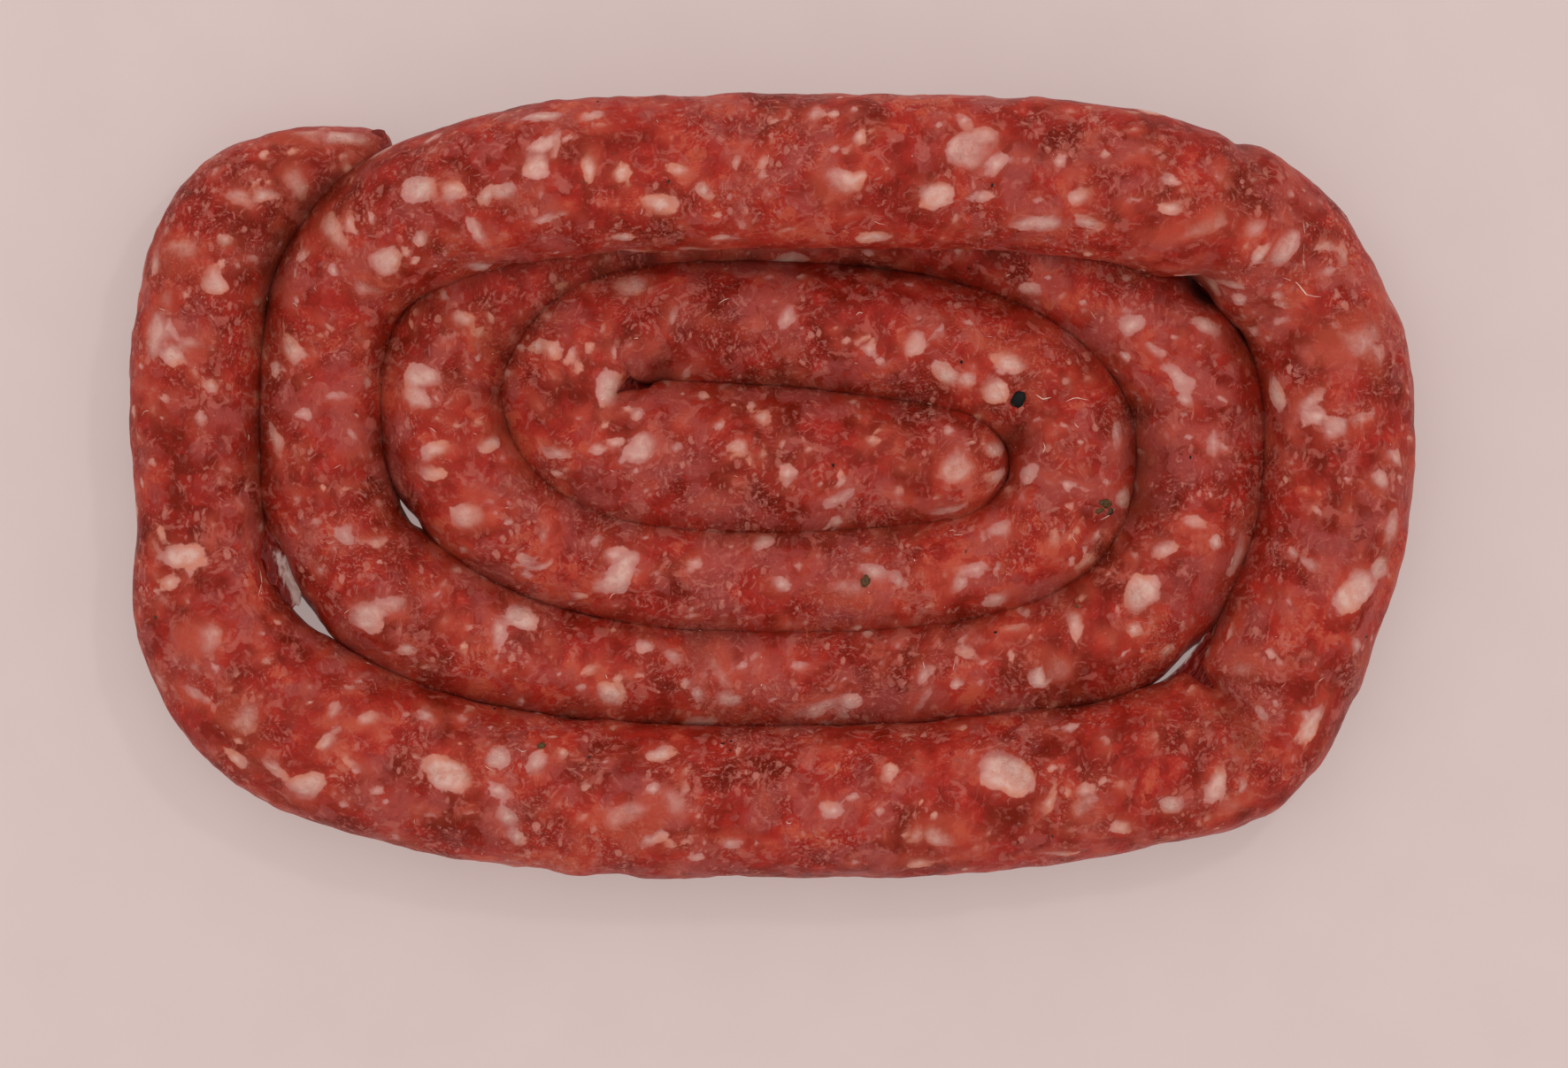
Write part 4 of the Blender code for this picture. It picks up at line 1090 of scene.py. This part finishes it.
    def _fat(self, n: NodeTree, curly: Socket, grit: Socket, colour: Socket,
             height: Socket) -> tuple[Socket, Socket]:
        """Large fat: a warm glow round it, a lobed edge, paler towards its middle."""
        edge, depth = n.value("fat_edge"), n.value("fat_depth")
        lobes = n.math("SUBTRACT", n.noise(curly, 2.1, 1.0).outputs["Fac"], 0.5)
        edge = n.math("ADD", edge, n.math("MULTIPLY", lobes, 1.15))
        edge = n.math("ADD", edge, n.math("MULTIPLY", n.math("SUBTRACT", grit, 0.5), 0.45))
        shown = n.math("SUBTRACT", 1.0, n.math("POWER", depth, 1.45))
        glow = n.math("MULTIPLY", n.rise(edge, 2.4, -0.4), n.math("ADD", 0.22, n.math(
            "MULTIPLY", depth, 0.40)))
        colour = n.mix(glow, colour, self.glow)
        crisp = n.rise(edge, 0.18, -0.18)
        soft = n.rise(edge, 0.8, -1.4)
        blur = n.math("ADD", n.math("MULTIPLY", crisp, n.math("SUBTRACT", 1.0, depth)),
                      n.math("MULTIPLY", soft, depth))
        rosy = n.math("MULTIPLY", n.rise(n.value("lean_tint"), 0.35, 0.75), 0.30)
        tinted = n.mix(rosy, self.fat, self.lilac)
        warm = n.math("MULTIPLY", n.rise(n.value("lean_tint"), 0.55, 0.15), 0.60)
        tinted = n.mix(warm, tinted, self.warm_fat)
        colour = n.mix(n.math("MULTIPLY", blur, shown), colour, tinted)
        ridge = n.rise(n.noise(curly, 1.8, 2.0, 0.5).outputs["Fac"], 0.32, 0.66)
        core = n.math("MULTIPLY", n.rise(edge, -0.1, -1.3), shown)
        uneven = n.math("ADD", n.math("MULTIPLY", ridge, 0.50), n.math("MULTIPLY", grit, 0.9))
        colour = n.mix(n.math("MULTIPLY", core, uneven), colour, self.pale_fat)
        swell = n.math("MULTIPLY", crisp, n.math("MULTIPLY", shown, 0.10))
        return colour, n.math("ADD", height, swell)


@dataclass(frozen=True)
class FloorFinish:
    """A plain pale tabletop, faintly mottled, that lets a little light up through it."""

    light: Colour = paint(156, 139, 135)
    shade: Colour = paint(149, 131, 127)
    through: Colour = paint(228, 208, 204)
    glow: float = 0.42

    def dress(self) -> bpy.types.Material:
        """Build the material."""
        n = NodeTree("pale_floor")
        mottle = n.noise(n.place, 14.0, 3.0).outputs["Fac"]
        return n.shade(n.mix(mottle, self.light, self.shade), 0.75, None,
                       Emission_Color=self.through, Emission_Strength=self.glow)


@dataclass(frozen=True)
class StrandFinish:
    """Pale sinew and painted glints, glossy and slightly clear."""

    # Colour of sinew, and of the strands that are painted glints
    pale: Colour = paint(232, 190, 174)
    rosy: Colour = paint(206, 138, 124)

    def dress(self) -> bpy.types.Material:
        """Build the material."""
        n = NodeTree("pale_sinew_and_glints")
        cloud = n.rise(n.noise(n.place, 2.0, 2.0).outputs["Fac"], 0.38, 0.62)
        return n.shade(n.mix(cloud, self.rosy, self.pale), 0.30, None,
                       Specular_IOR_Level=0.4, Subsurface_Weight=0.2,
                       Subsurface_Radius=(1.0, 0.4, 0.3), Subsurface_Scale=0.4 * MM)


@dataclass(frozen=True)
class PepperFinish:
    """Cracked peppercorn: blue-black husk and olive flesh, broken up finely."""

    husk: Colour = paint(22, 22, 22)
    olive: Colour = paint(92, 66, 40)

    def dress(self) -> bpy.types.Material:
        """Build the material, which reads olive from the mesh."""
        n = NodeTree("cracked_pepper")
        grit = n.noise(n.place, 0.45, 3.0, 0.5).outputs["Fac"]
        share = n.math("ADD", n.value("olive"), n.math("MULTIPLY", n.math(
            "SUBTRACT", grit, 0.5), 1.6))
        colour = n.mix(n.rise(share, 0.25, 0.75), self.husk, self.olive)
        return n.shade(colour, 0.45, n.math("MULTIPLY", grit, 0.15),
                       Specular_IOR_Level=0.1)


@dataclass(frozen=True)
class CasingFinish:
    """Loose casing: a wet red film that turns milky where it is stretched clear. It also
    dresses two dark sheets that are painted shade in pockets.
    """

    # The dark red here also colours the two sheets of painted shade in the pockets
    wet: Colour = paint(104, 20, 12)
    worn: Colour = paint(146, 50, 38)
    milky: Colour = paint(176, 146, 138)

    def dress(self) -> bpy.types.Material:
        """Build the material, which reads milkiness from the mesh."""
        n = NodeTree("loose_casing_and_shade_sheets")
        drawn = n.vector("MULTIPLY", n.warped(n.place, 1.5, 0.5), (1.0, 0.35, 0.6))
        streak = n.noise(drawn, 0.7, 3.0, 0.6).outputs["Fac"]
        body = n.mix(n.rise(streak, 0.50, 0.72), self.wet, self.worn)
        share = n.math("ADD", n.value("milkiness"), n.math("MULTIPLY", n.math(
            "SUBTRACT", streak, 0.5), 1.4))
        colour = n.mix(n.rise(share, 0.30, 0.80), body, self.milky)
        return n.shade(colour, 0.28, n.math("MULTIPLY", streak, 0.18),
                       Specular_IOR_Level=0.15, Subsurface_Weight=0.25,
                       Subsurface_Radius=(1.0, 0.4, 0.3), Subsurface_Scale=0.8 * MM)


# --------------------------------------------------------------------------------------
# The sausage
# --------------------------------------------------------------------------------------

@dataclass
class Sausage:
    """The coiled rope as one piece: lumpy skin over mince, from the tail to the nose."""

    run: RopeRun = field(default_factory=RopeRun)
    seed: int = 5
    lump_sizes: Sequence[tuple[float, float]] = ((6.5, 0.42), (3.6, 0.28), (1.8, 0.15))
    fat_swell: float = 0.16
    tones: dict[str, Sequence[tuple[float, float]]] = field(default_factory=lambda: {
        "lean_tone": ((8.0, 0.50), (2.6, 0.32), (1.2, 0.24)),
        "lean_tint": ((9.0, 0.48), (3.1, 0.46)),
        "tissue": ((6.0, 0.45), (2.4, 0.22)),
    })
    laid: Sequence[Fat] = LAID_FAT

    def build(self) -> bpy.types.Object:
        """Make the skin with its fields and dress it.

        Returns:
            The piece.
        """
        skin = Skin(self.run)
        skin.raise_skin(self.relief)
        skin.centre_on(*CAD_BOX)
        mince = Mince(skin, self.laid)
        mince.settle()
        swell = smooth_step(-mince.edge / MM, -0.4, 0.9) * (1.0 - 0.7 * mince.buried)
        skin.points = skin.points + (self.fat_swell * MM * swell)[..., None] * skin.rays
        skin.points = np.maximum(skin.points, (-np.inf, -np.inf, 0.0))
        rings, around = skin.points.shape[:2]
        points = np.concatenate((skin.points.reshape(-1, 3), skin.tips))
        mesh = closed_mesh("sausage_skin", points, *tube_faces(rings, around))
        far = (mince.far * MM,) * 2
        add_values(mesh, "fat_edge", np.concatenate((mince.edge.ravel(), far)) / MM)
        none = (0.0, 0.0)
        add_values(mesh, "fat_depth", np.concatenate((mince.buried.ravel(), none)))
        # Painted shade in creases, kept for the material
        add_values(mesh, "crease_shade", np.concatenate((skin.crease_shade.ravel(), none)))
        for name, field_of in self._tones(points).items():
            add_values(mesh, name, field_of)
        mesh.materials.append(MeatFinish().dress())
        piece = place_piece("sausage_skin", mesh)
        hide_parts(NODE)
        self.skin = skin
        return piece

    def _tones(self, points: np.ndarray) -> dict[str, np.ndarray]:
        """Fields from 0 to 1 for the lean's tone and tint and for its grainy tissue."""
        fields = {}
        for k, (name, parts) in enumerate(self.tones.items()):
            cloud = sum(weight * Noise(self.seed + 20 + 5 * k + m).at(points, size * MM)
                        for m, (size, weight) in enumerate(parts))
            fields[name] = np.clip(0.5 + cloud, 0.0, 1.0)
        return fields

    def relief(self, points: np.ndarray) -> np.ndarray:
        """Height of the lumps that the mince pushes out, summed over a few sizes."""
        total = np.zeros(points.shape[:-1])
        for k, (size, height) in enumerate(self.lump_sizes):
            total += height * MM * Noise(self.seed + k).at(points, size * MM)
        return total


# --------------------------------------------------------------------------------------
# What lies on and between the turns
# --------------------------------------------------------------------------------------

class Surface:
    """The finished skin, asked for the spot under or nearest to a point."""

    def __init__(self, skin: bpy.types.Object) -> None:
        """Args: skin: the piece."""
        bpy.context.view_layer.update()
        graph = bpy.context.evaluated_depsgraph_get()
        self.tree = BVHTree.FromObject(skin, graph)

    def under(self, x: float, y: float) -> tuple[np.ndarray, np.ndarray]:
        """The highest skin point at a plan place in millimetres, and the way it faces."""
        spot, facing, _, _ = self.tree.ray_cast((x * MM, y * MM, 0.1), (0.0, 0.0, -1.0))
        return np.array(spot), np.array(facing)

    def nearest(self, points: np.ndarray) -> tuple[np.ndarray, np.ndarray]:
        """The skin points nearest to rows of points, and the way they face."""
        found = [self.tree.find_nearest(point)[:2] for point in points.tolist()]
        spots, facings = zip(*found)
        return np.array(spots), np.array(facings)


def many(faces: tuple[np.ndarray, np.ndarray], count: int,
         stride: int) -> tuple[np.ndarray, np.ndarray]:
    """One body's quads and triangles repeated for bodies that follow each other."""
    shift = stride * np.arange(count)[:, None, None]
    quads, triangles = faces
    return ((quads[None] + shift).reshape(-1, 4), (triangles[None] + shift).reshape(-1, 3))


class Thread(NamedTuple):
    """A pale strand: how thick, and the plan points that it passes through. Strands are
    sinew, and the short pale ones are painted glints.
    """

    thick: float
    route: tuple[tuple[float, float], ...]


@dataclass
class Threads:
    """Fine pale strands on the skin as one piece. Sizes are in millimetres."""

    surface: Surface
    skin: Skin
    # Listed strands: some are sinew, and the short ones are painted glints
    laid: Sequence[Thread] = (
        Thread(0.13, ((85.0, 34.8), (87.5, 33.9), (89.2, 31.8), (91.5, 31.6))),
        Thread(0.05, ((88.2, 46.0), (88.7, 42.0), (88.4, 38.0), (88.9, 34.5))),
        Thread(0.10, ((-85.7, -13.6), (-85.3, -16.0), (-85.8, -18.2))),
        Thread(0.12, ((54.8, -5.6), (56.2, -4.9), (57.4, -3.6))),
        Thread(0.11, ((44.0, 15.4), (45.2, 14.6), (46.6, 14.9))),
        Thread(0.09, ((49.0, 14.2), (50.6, 14.9), (53.0, 14.4))),
        Thread(0.10, ((45.2, 5.6), (45.6, 6.5), (45.3, 7.4))),
        Thread(0.12, ((29.6, -7.4), (30.2, -7.2), (30.8, -7.5))),
        Thread(0.10, ((17.0, 44.0), (17.9, 43.6), (18.8, 43.5))),
        Thread(0.08, ((-9.0, 30.5), (-8.0, 31.2), (-7.0, 31.5))),
        Thread(0.09, ((14.0, 28.6), (14.5, 29.1), (15.2, 29.0))),
        Thread(0.09, ((-43.0, -43.4), (-41.6, -44.2), (-40.9, -44.0))),
        Thread(0.08, ((51.0, -9.6), (50.2, -8.4), (50.4, -7.0))),
    )
    # Scattered short strands, most of them painted glints
    scattered: int = 420
    seed: int = 31
    steps: int = 7
    sides: int = 5
    name: str = "sinew_and_glint_threads"

    def build(self) -> bpy.types.Object:
        """Make every strand as a thin tube that tapers to both ends."""
        lines = [self._laid_line(thread) for thread in self.laid]
        thick = [thread.thick for thread in self.laid]
        dice = np.random.default_rng(self.seed)
        for _ in range(self.scattered):
            lines.append(self._random_line(dice))
            thick.append(0.045 + 0.06 * dice.random() ** 2.0)
        count = len(lines)
        spots, facings = self.surface.nearest(np.concatenate(lines))
        spots = spots.reshape(count, self.steps, 3)
        facings = facings.reshape(count, self.steps, 3)
        t = np.linspace(-1.0, 1.0, self.steps)
        radius = np.array(thick)[:, None] * MM * np.sqrt(1.02 - t ** 2)
        ahead = unit(np.gradient(spots, axis=1))
        across = unit(np.cross(ahead, facings))
        upward = np.cross(across, ahead)
        turn = np.linspace(0.0, 2.0 * math.pi, self.sides, endpoint=False)
        ring = (np.cos(turn)[:, None] * across[:, :, None, :]
                + np.sin(turn)[:, None] * upward[:, :, None, :])
        tube = (spots + 0.5 * radius[..., None] * facings)[:, :, None, :]
        tube = (tube + radius[:, :, None, None] * ring).reshape(count, -1, 3)
        ends = spots[:, [0, -1]]
        points = np.concatenate((tube, ends), axis=1).reshape(-1, 3)
        stride = self.steps * self.sides + 2
        faces = many(tube_faces(self.steps, self.sides), count, stride)
        mesh = closed_mesh(self.name, points, *faces)
        mesh.materials.append(StrandFinish().dress())
        return place_piece(self.name, mesh)

    def _laid_line(self, thread: Thread) -> np.ndarray:
        """Even points over the skin along a strand's route."""
        route = np.array(thread.route)
        length = run_length(route)
        plan = resample(route, length, np.linspace(0.0, length[-1], self.steps))
        return np.array([self.surface.under(x, y)[0] for x, y in plan])

    def _random_line(self, dice: np.random.Generator) -> np.ndarray:
        """A short bent line that touches the skin at a random place."""
        ring = int(dice.integers(12, len(self.skin.stations) - 12))
        side = int(dice.integers(self.skin.around))
        outward = unit(self.skin.rays[ring, side])
        ahead = unit(np.cross(outward, dice.normal(size=3)))
        aside = np.cross(outward, ahead)
        half = MM * (0.12 + 0.80 * dice.random() ** 3.5)
        t = np.linspace(-1.0, 1.0, self.steps)[:, None]
        bend = dice.normal(0.0, 0.22) * t * t + dice.normal(0.0, 0.10) * t ** 3
        return self.skin.points[ring, side] + half * (t * ahead + bend * aside)


class Chip(NamedTuple):
    """A bit of pepper: plan place, half length, half width, heading, share of olive."""

    x: float
    y: float
    long: float
    wide: float
    heading: float
    olive: float


@dataclass
class PepperBits:
    """Cracked pepper pressed into the skin, as one piece. Sizes are in millimetres."""

    surface: Surface
    skin: Skin
    laid: Sequence[Chip] = (
        Chip(41.2, 14.7, 1.60, 1.35, 60.0, 0.1), Chip(40.3, 14.0, 0.75, 0.5, 20.0, 0.3),
        Chip(15.6, -15.8, 1.05, 0.80, 20.0, 0.7), Chip(-38.5, -43.2, 0.8, 0.65, 0.0, 0.8),
        Chip(55.7, -2.8, 1.35, 0.75, 60.0, 0.7), Chip(56.5, -4.2, 0.8, 0.55, 20.0, 0.5),
        Chip(54.7, -4.0, 0.9, 0.5, 40.0, 0.8),
        Chip(-30.5, -45.1, 0.32, 0.25, 30.0, 0.4), Chip(-8.2, -42.9, 0.32, 0.22, 0.0, 0.3),
        Chip(-7.0, -44.0, 0.28, 0.2, 60.0, 0.3), Chip(31.6, 20.8, 0.3, 0.25, 10.0, 0.2),
        Chip(36.5, 49.9, 0.3, 0.22, 40.0, 0.3), Chip(10.2, 3.6, 0.3, 0.22, 0.0, 0.2),
        Chip(-17.2, 50.5, 0.3, 0.25, 80.0, 0.4), Chip(69.8, 4.9, 0.3, 0.2, 20.0, 0.2),
        Chip(-103.0, -21.8, 0.35, 0.25, 90.0, 0.4), Chip(32.9, 36.5, 0.3, 0.22, 0.0, 0.3),
    )
    scattered: int = 36
    seed: int = 41
    rings: int = 5
    sides: int = 8
    name: str = "cracked_pepper"

    def build(self) -> bpy.types.Object:
        """Make every chip as a squat uneven pebble, half of it below the skin."""
        dice = np.random.default_rng(self.seed)
        rows = [(*self.surface.under(chip.x, chip.y), chip.long, chip.wide,
                 math.radians(chip.heading), chip.olive) for chip in self.laid]
        for _ in range(self.scattered):
            ring = int(dice.integers(12, len(self.skin.stations) - 12))
            side = int(dice.integers(self.skin.around))
            spots, facings = self.surface.nearest(self.skin.points[ring, side][None])
            long = 0.14 + 0.20 * dice.random() ** 2.0
            rows.append((spots[0], facings[0], long, long * dice.uniform(0.6, 1.0),
                         dice.uniform(0.0, math.pi), dice.random()))
        spots, facings, long, wide, turn, olive = map(np.array, zip(*rows))
        side = unit(np.cross(facings, (0.31, 0.0, 0.95)))
        other = np.cross(facings, side)
        ahead = np.cos(turn)[:, None] * side + np.sin(turn)[:, None] * other
        across = np.cross(facings, ahead)
        size = MM * np.stack((long, wide, 0.55 * wide), axis=1)
        shell = self._pebble()
        bumps = dice.uniform(0.78, 1.15, (len(rows), len(shell), 1))
        local = shell[None] * bumps * size[:, None, :]
        points = (spots[:, None] + local[..., 0:1] * ahead[:, None]
                  + local[..., 1:2] * across[:, None] + local[..., 2:3] * facings[:, None])
        faces = many(tube_faces(self.rings, self.sides), len(rows), len(shell))
        mesh = closed_mesh(self.name, points.reshape(-1, 3), *faces)
        add_values(mesh, "olive", np.repeat(olive, len(shell)))
        mesh.materials.append(PepperFinish().dress())
        return place_piece(self.name, mesh)

    def _pebble(self) -> np.ndarray:
        """Points of a unit ball in rings from tip to tip, and its two tips."""
        lift = np.linspace(0.0, math.pi, self.rings + 2)[1:-1]
        turn = -np.linspace(0.0, 2.0 * math.pi, self.sides, endpoint=False)
        ball = np.stack((np.cos(lift)[:, None] * np.ones(self.sides),
                         np.sin(lift)[:, None] * np.cos(turn),
                         np.sin(lift)[:, None] * np.sin(turn)), axis=-1)
        return np.concatenate((ball.reshape(-1, 3), ((1.0, 0.0, 0.0), (-1.0, 0.0, 0.0))))


@dataclass
class CasingSheet:
    """A thin sheet of loose casing stretched between two rails, sagging and wrinkled.

    Each rail is a smooth curve through four points; v passes from the near rail, 0, to
    the far rail, 1. Its two open ends are torn by as much as fray. Sizes are in
    millimetres.
    """

    name: str
    near: Sequence[tuple[float, float, float]]
    far: Sequence[tuple[float, float, float]]
    sag: float = 0.0
    ridges: float = 0.0
    ridge_height: float = 0.0
    crumple: float = 0.15
    fray: float = 0.0
    milky: Callable[[np.ndarray, np.ndarray], np.ndarray] = lambda u, v: 0.0 * v
    thick: float = 0.12
    along: int = 90
    over: int = 60
    seed: int = 61

    def build(self) -> bpy.types.Object:
        """Make the sheet as a closed body: a face above, a face below and a rim."""
        u = np.linspace(0.0, 1.0, self.along)[:, None] * np.ones(self.over)
        v = np.linspace(0.0, 1.0, self.over)[None, :] * np.ones((self.along, 1))
        rails = [self._rail(points) for points in (self.near, self.far)]
        top = rails[0][:, None, :] * (1.0 - v[..., None]) + rails[1][:, None, :] * v[..., None]
        noise = Noise(self.seed)
        drift = noise.at(top * MM, 2.2 * MM)
        ridge = np.sin(2.0 * math.pi * (self.ridges * v + 0.5 * drift))
        rise = (self.ridge_height * ridge - 4.0 * self.sag * v * (1.0 - v)
                + self.crumple * (noise.at(top * MM, 0.8 * MM) + 0.6 * drift))
        top[..., 2] += rise
        torn = self.fray * noise.at(top * MM * (1.0, 0.0, 0.0), 0.6 * MM)
        top[..., 1] += torn * (u ** 6 + (1.0 - u) ** 6)
        under = top - (0.0, 0.0, self.thick)
        points = np.concatenate((top.reshape(-1, 3), under.reshape(-1, 3))) * MM
        mesh = closed_mesh(self.name, points, self._faces(), np.zeros((0, 3), int))
        milk = np.broadcast_to(self.milky(u, v), u.shape).ravel()
        add_values(mesh, "milkiness", np.concatenate((milk, milk)))
        mesh.materials.append(CasingFinish().dress())
        return place_piece(self.name, mesh)

    def _rail(self, points: Sequence[tuple[float, float, float]]) -> np.ndarray:
        """The cubic through four points, at even steps."""
        t = np.linspace(0.0, 1.0, len(points))
        fit = np.polyfit(t, np.array(points), len(points) - 1)
        steps = np.linspace(0.0, 1.0, self.along)[:, None]
        return sum(row * steps ** power for power, row in enumerate(fit[::-1]))

    def _faces(self) -> np.ndarray:
        """Quads of both faces and of the rim between them."""
        index = np.arange(self.along * self.over).reshape(self.along, self.over)
        grid = np.stack((index[:-1, :-1], index[1:, :-1], index[1:, 1:], index[:-1, 1:]), -1)
        top = grid.reshape(-1, 4)
        below = top[:, ::-1] + index.size
        rim = np.concatenate((index[:, 0], index[-1, 1:], index[-2::-1, -1], index[0, -2::-1]))
        rim_quads = np.stack((rim[1:], rim[:-1], rim[:-1] + index.size,
                              rim[1:] + index.size), axis=-1)
        return np.concatenate((top, below, rim_quads))


def loose_casings() -> list[CasingSheet]:
    """Casing that hangs loose over two gaps and at the cut end, and two dark sheets of it
    in two pockets, which are painted shade.
    """
    return [
        CasingSheet(
            "casing_over_left_gap",
            ((-87.4, -6.6, 12.4), (-86.4, -11.5, 12.7), (-85.0, -15.6, 12.6),
             (-82.6, -20.4, 12.0)),
            ((-82.6, -7.8, 12.8), (-80.8, -12.0, 13.0), (-79.0, -15.4, 12.7),
             (-77.0, -18.6, 11.8)),
            ridges=1.5, ridge_height=0.20, fray=1.6,
            milky=lambda u, v: (smooth_step(v, 0.34, 0.66) * smooth_step(u, 0.08, 0.40)
                                * (0.55 + 0.50 * u))),
        CasingSheet(
            "casing_at_right_gap",
            ((62.8, -33.3, 11.5), (66.3, -31.8, 12.2), (70.0, -28.1, 12.4),
             (73.4, -23.0, 12.0)),
            ((66.5, -36.5, 16.5), (71.0, -35.5, 17.0), (75.5, -31.5, 17.0),
             (78.0, -25.5, 16.0)),
            ridges=5.0, ridge_height=0.22,
            milky=lambda u, v: 0.8 * (1.0 - smooth_step(v, 0.0, 0.10))),
        CasingSheet(
            "casing_at_cut_end",
            ((-67.4, 59.6, 10.2), (-66.4, 59.9, 10.6), (-65.6, 59.9, 10.8),
             (-64.9, 59.7, 10.6)),
            ((-67.0, 55.0, 15.2), (-66.0, 55.2, 15.4), (-65.0, 55.6, 15.6),
             (-63.6, 56.4, 15.4)),
            ridges=1.5, ridge_height=0.12, along=40, over=50),
        # Painted shade: a dark sheet that fills the pocket under the right bend
        CasingSheet(
            "shade_sheet_under_right_bend",
            ((66.0, 30.0, 7.0), (68.5, 27.5, 7.0), (71.0, 25.0, 7.0), (73.0, 22.0, 7.0)),
            ((74.0, 37.5, 8.5), (76.0, 35.0, 8.5), (77.5, 32.0, 8.5), (79.0, 28.0, 8.0)),
            crumple=0.4, along=40, over=40),
        # Painted shade: a dark sheet that fills the pocket under the inner bend
        CasingSheet(
            "shade_sheet_under_inner_bend",
            ((-29.0, 14.0, 18.0), (-25.0, 14.5, 17.5), (-20.6, 15.0, 13.0),
             (-15.0, 15.5, 8.0)),
            ((-28.5, 20.5, 18.5), (-24.5, 22.5, 18.0), (-20.0, 23.5, 13.5),
             (-15.0, 22.5, 8.5)),
            crumple=0.4, along=40, over=40),
    ]


# --------------------------------------------------------------------------------------
# The room it is shown in
# --------------------------------------------------------------------------------------

@dataclass
class Studio:
    """A pale floor, soft light all round and a camera that looks straight down."""

    floor_half: float = 1.6
    view_width: float = 0.2626
    camera_height: float = 2.4
    aim: tuple[float, float, float] = (0.0020, -0.0079, 0.012)
    sensor: float = 36.0
    sky: Colour = (1.0, 0.985, 0.97, 1.0)
    sky_strength: float = 0.86

    def build(self) -> None:
        """Make the floor, the lights and the camera."""
        self._floor()
        self._sky()
        self._lamp("overhead_softbox", (-0.25, 0.35, 1.3), 1.0, 2.5)
        self._lamp("side_lamp", (0.5, 0.5, 1.1), 0.10, 2.2)
        self._camera()

    def _floor(self) -> None:
        """A plain square, a hair below the rope."""
        half, down = self.floor_half, -0.02 * MM
        corners = [(-half, -half, down), (half, -half, down), (half, half, down),
                   (-half, half, down)]
        mesh = bpy.data.meshes.new("floor")
        mesh.from_pydata(corners, [], [(0, 1, 2, 3)])
        mesh.materials.append(FloorFinish().dress())
        floor = bpy.data.objects.new("floor", mesh)
        bpy.context.scene.collection.objects.link(floor)

    def _sky(self) -> None:
        """Even light from all round."""
        world = bpy.data.worlds.new("soft_light")
        world.use_nodes = True
        background = world.node_tree.nodes["Background"]
        background.inputs["Color"].default_value = self.sky
        background.inputs["Strength"].default_value = self.sky_strength
        bpy.context.scene.world = world

    def _lamp(self, name: str, place: tuple[float, float, float], size: float,
              power: float) -> None:
        """A square lamp that faces the coil."""
        lamp = bpy.data.lights.new(name, "AREA")
        lamp.size = size
        lamp.energy = power
        holder = bpy.data.objects.new(name, lamp)
        holder.location = place
        back = holder.location.normalized()
        holder.rotation_mode = "QUATERNION"
        holder.rotation_quaternion = back.to_track_quat("Z", "Y")
        holder.visible_camera = False
        bpy.context.scene.collection.objects.link(holder)

    def _camera(self) -> None:
        """A long lens straight above, with +Y up the picture."""
        lens = bpy.data.cameras.new("camera")
        lens.sensor_width = self.sensor
        rise = self.camera_height - self.aim[2]
        lens.lens = self.sensor * rise / self.view_width
        camera = bpy.data.objects.new("camera", lens)
        camera.location = (self.aim[0], self.aim[1], self.camera_height)
        bpy.context.scene.collection.objects.link(camera)
        bpy.context.scene.camera = camera


def main() -> None:
    """Build the sausage and the room round it, in order."""
    logging.basicConfig(level=logging.INFO, format="%(name)s: %(message)s")
    bpy.context.scene.view_settings.view_transform = "Standard"
    sausage = Sausage()
    pieces = [sausage.build()]
    surface = Surface(pieces[0])
    pieces.append(Threads(surface, sausage.skin).build())
    pieces.append(PepperBits(surface, sausage.skin).build())
    pieces.extend(sheet.build() for sheet in loose_casings())
    for piece in pieces:
        log.info("%s: %d vertices", piece.name, len(piece.data.vertices))
    Studio().build()


if __name__ == "__main__":
    main()
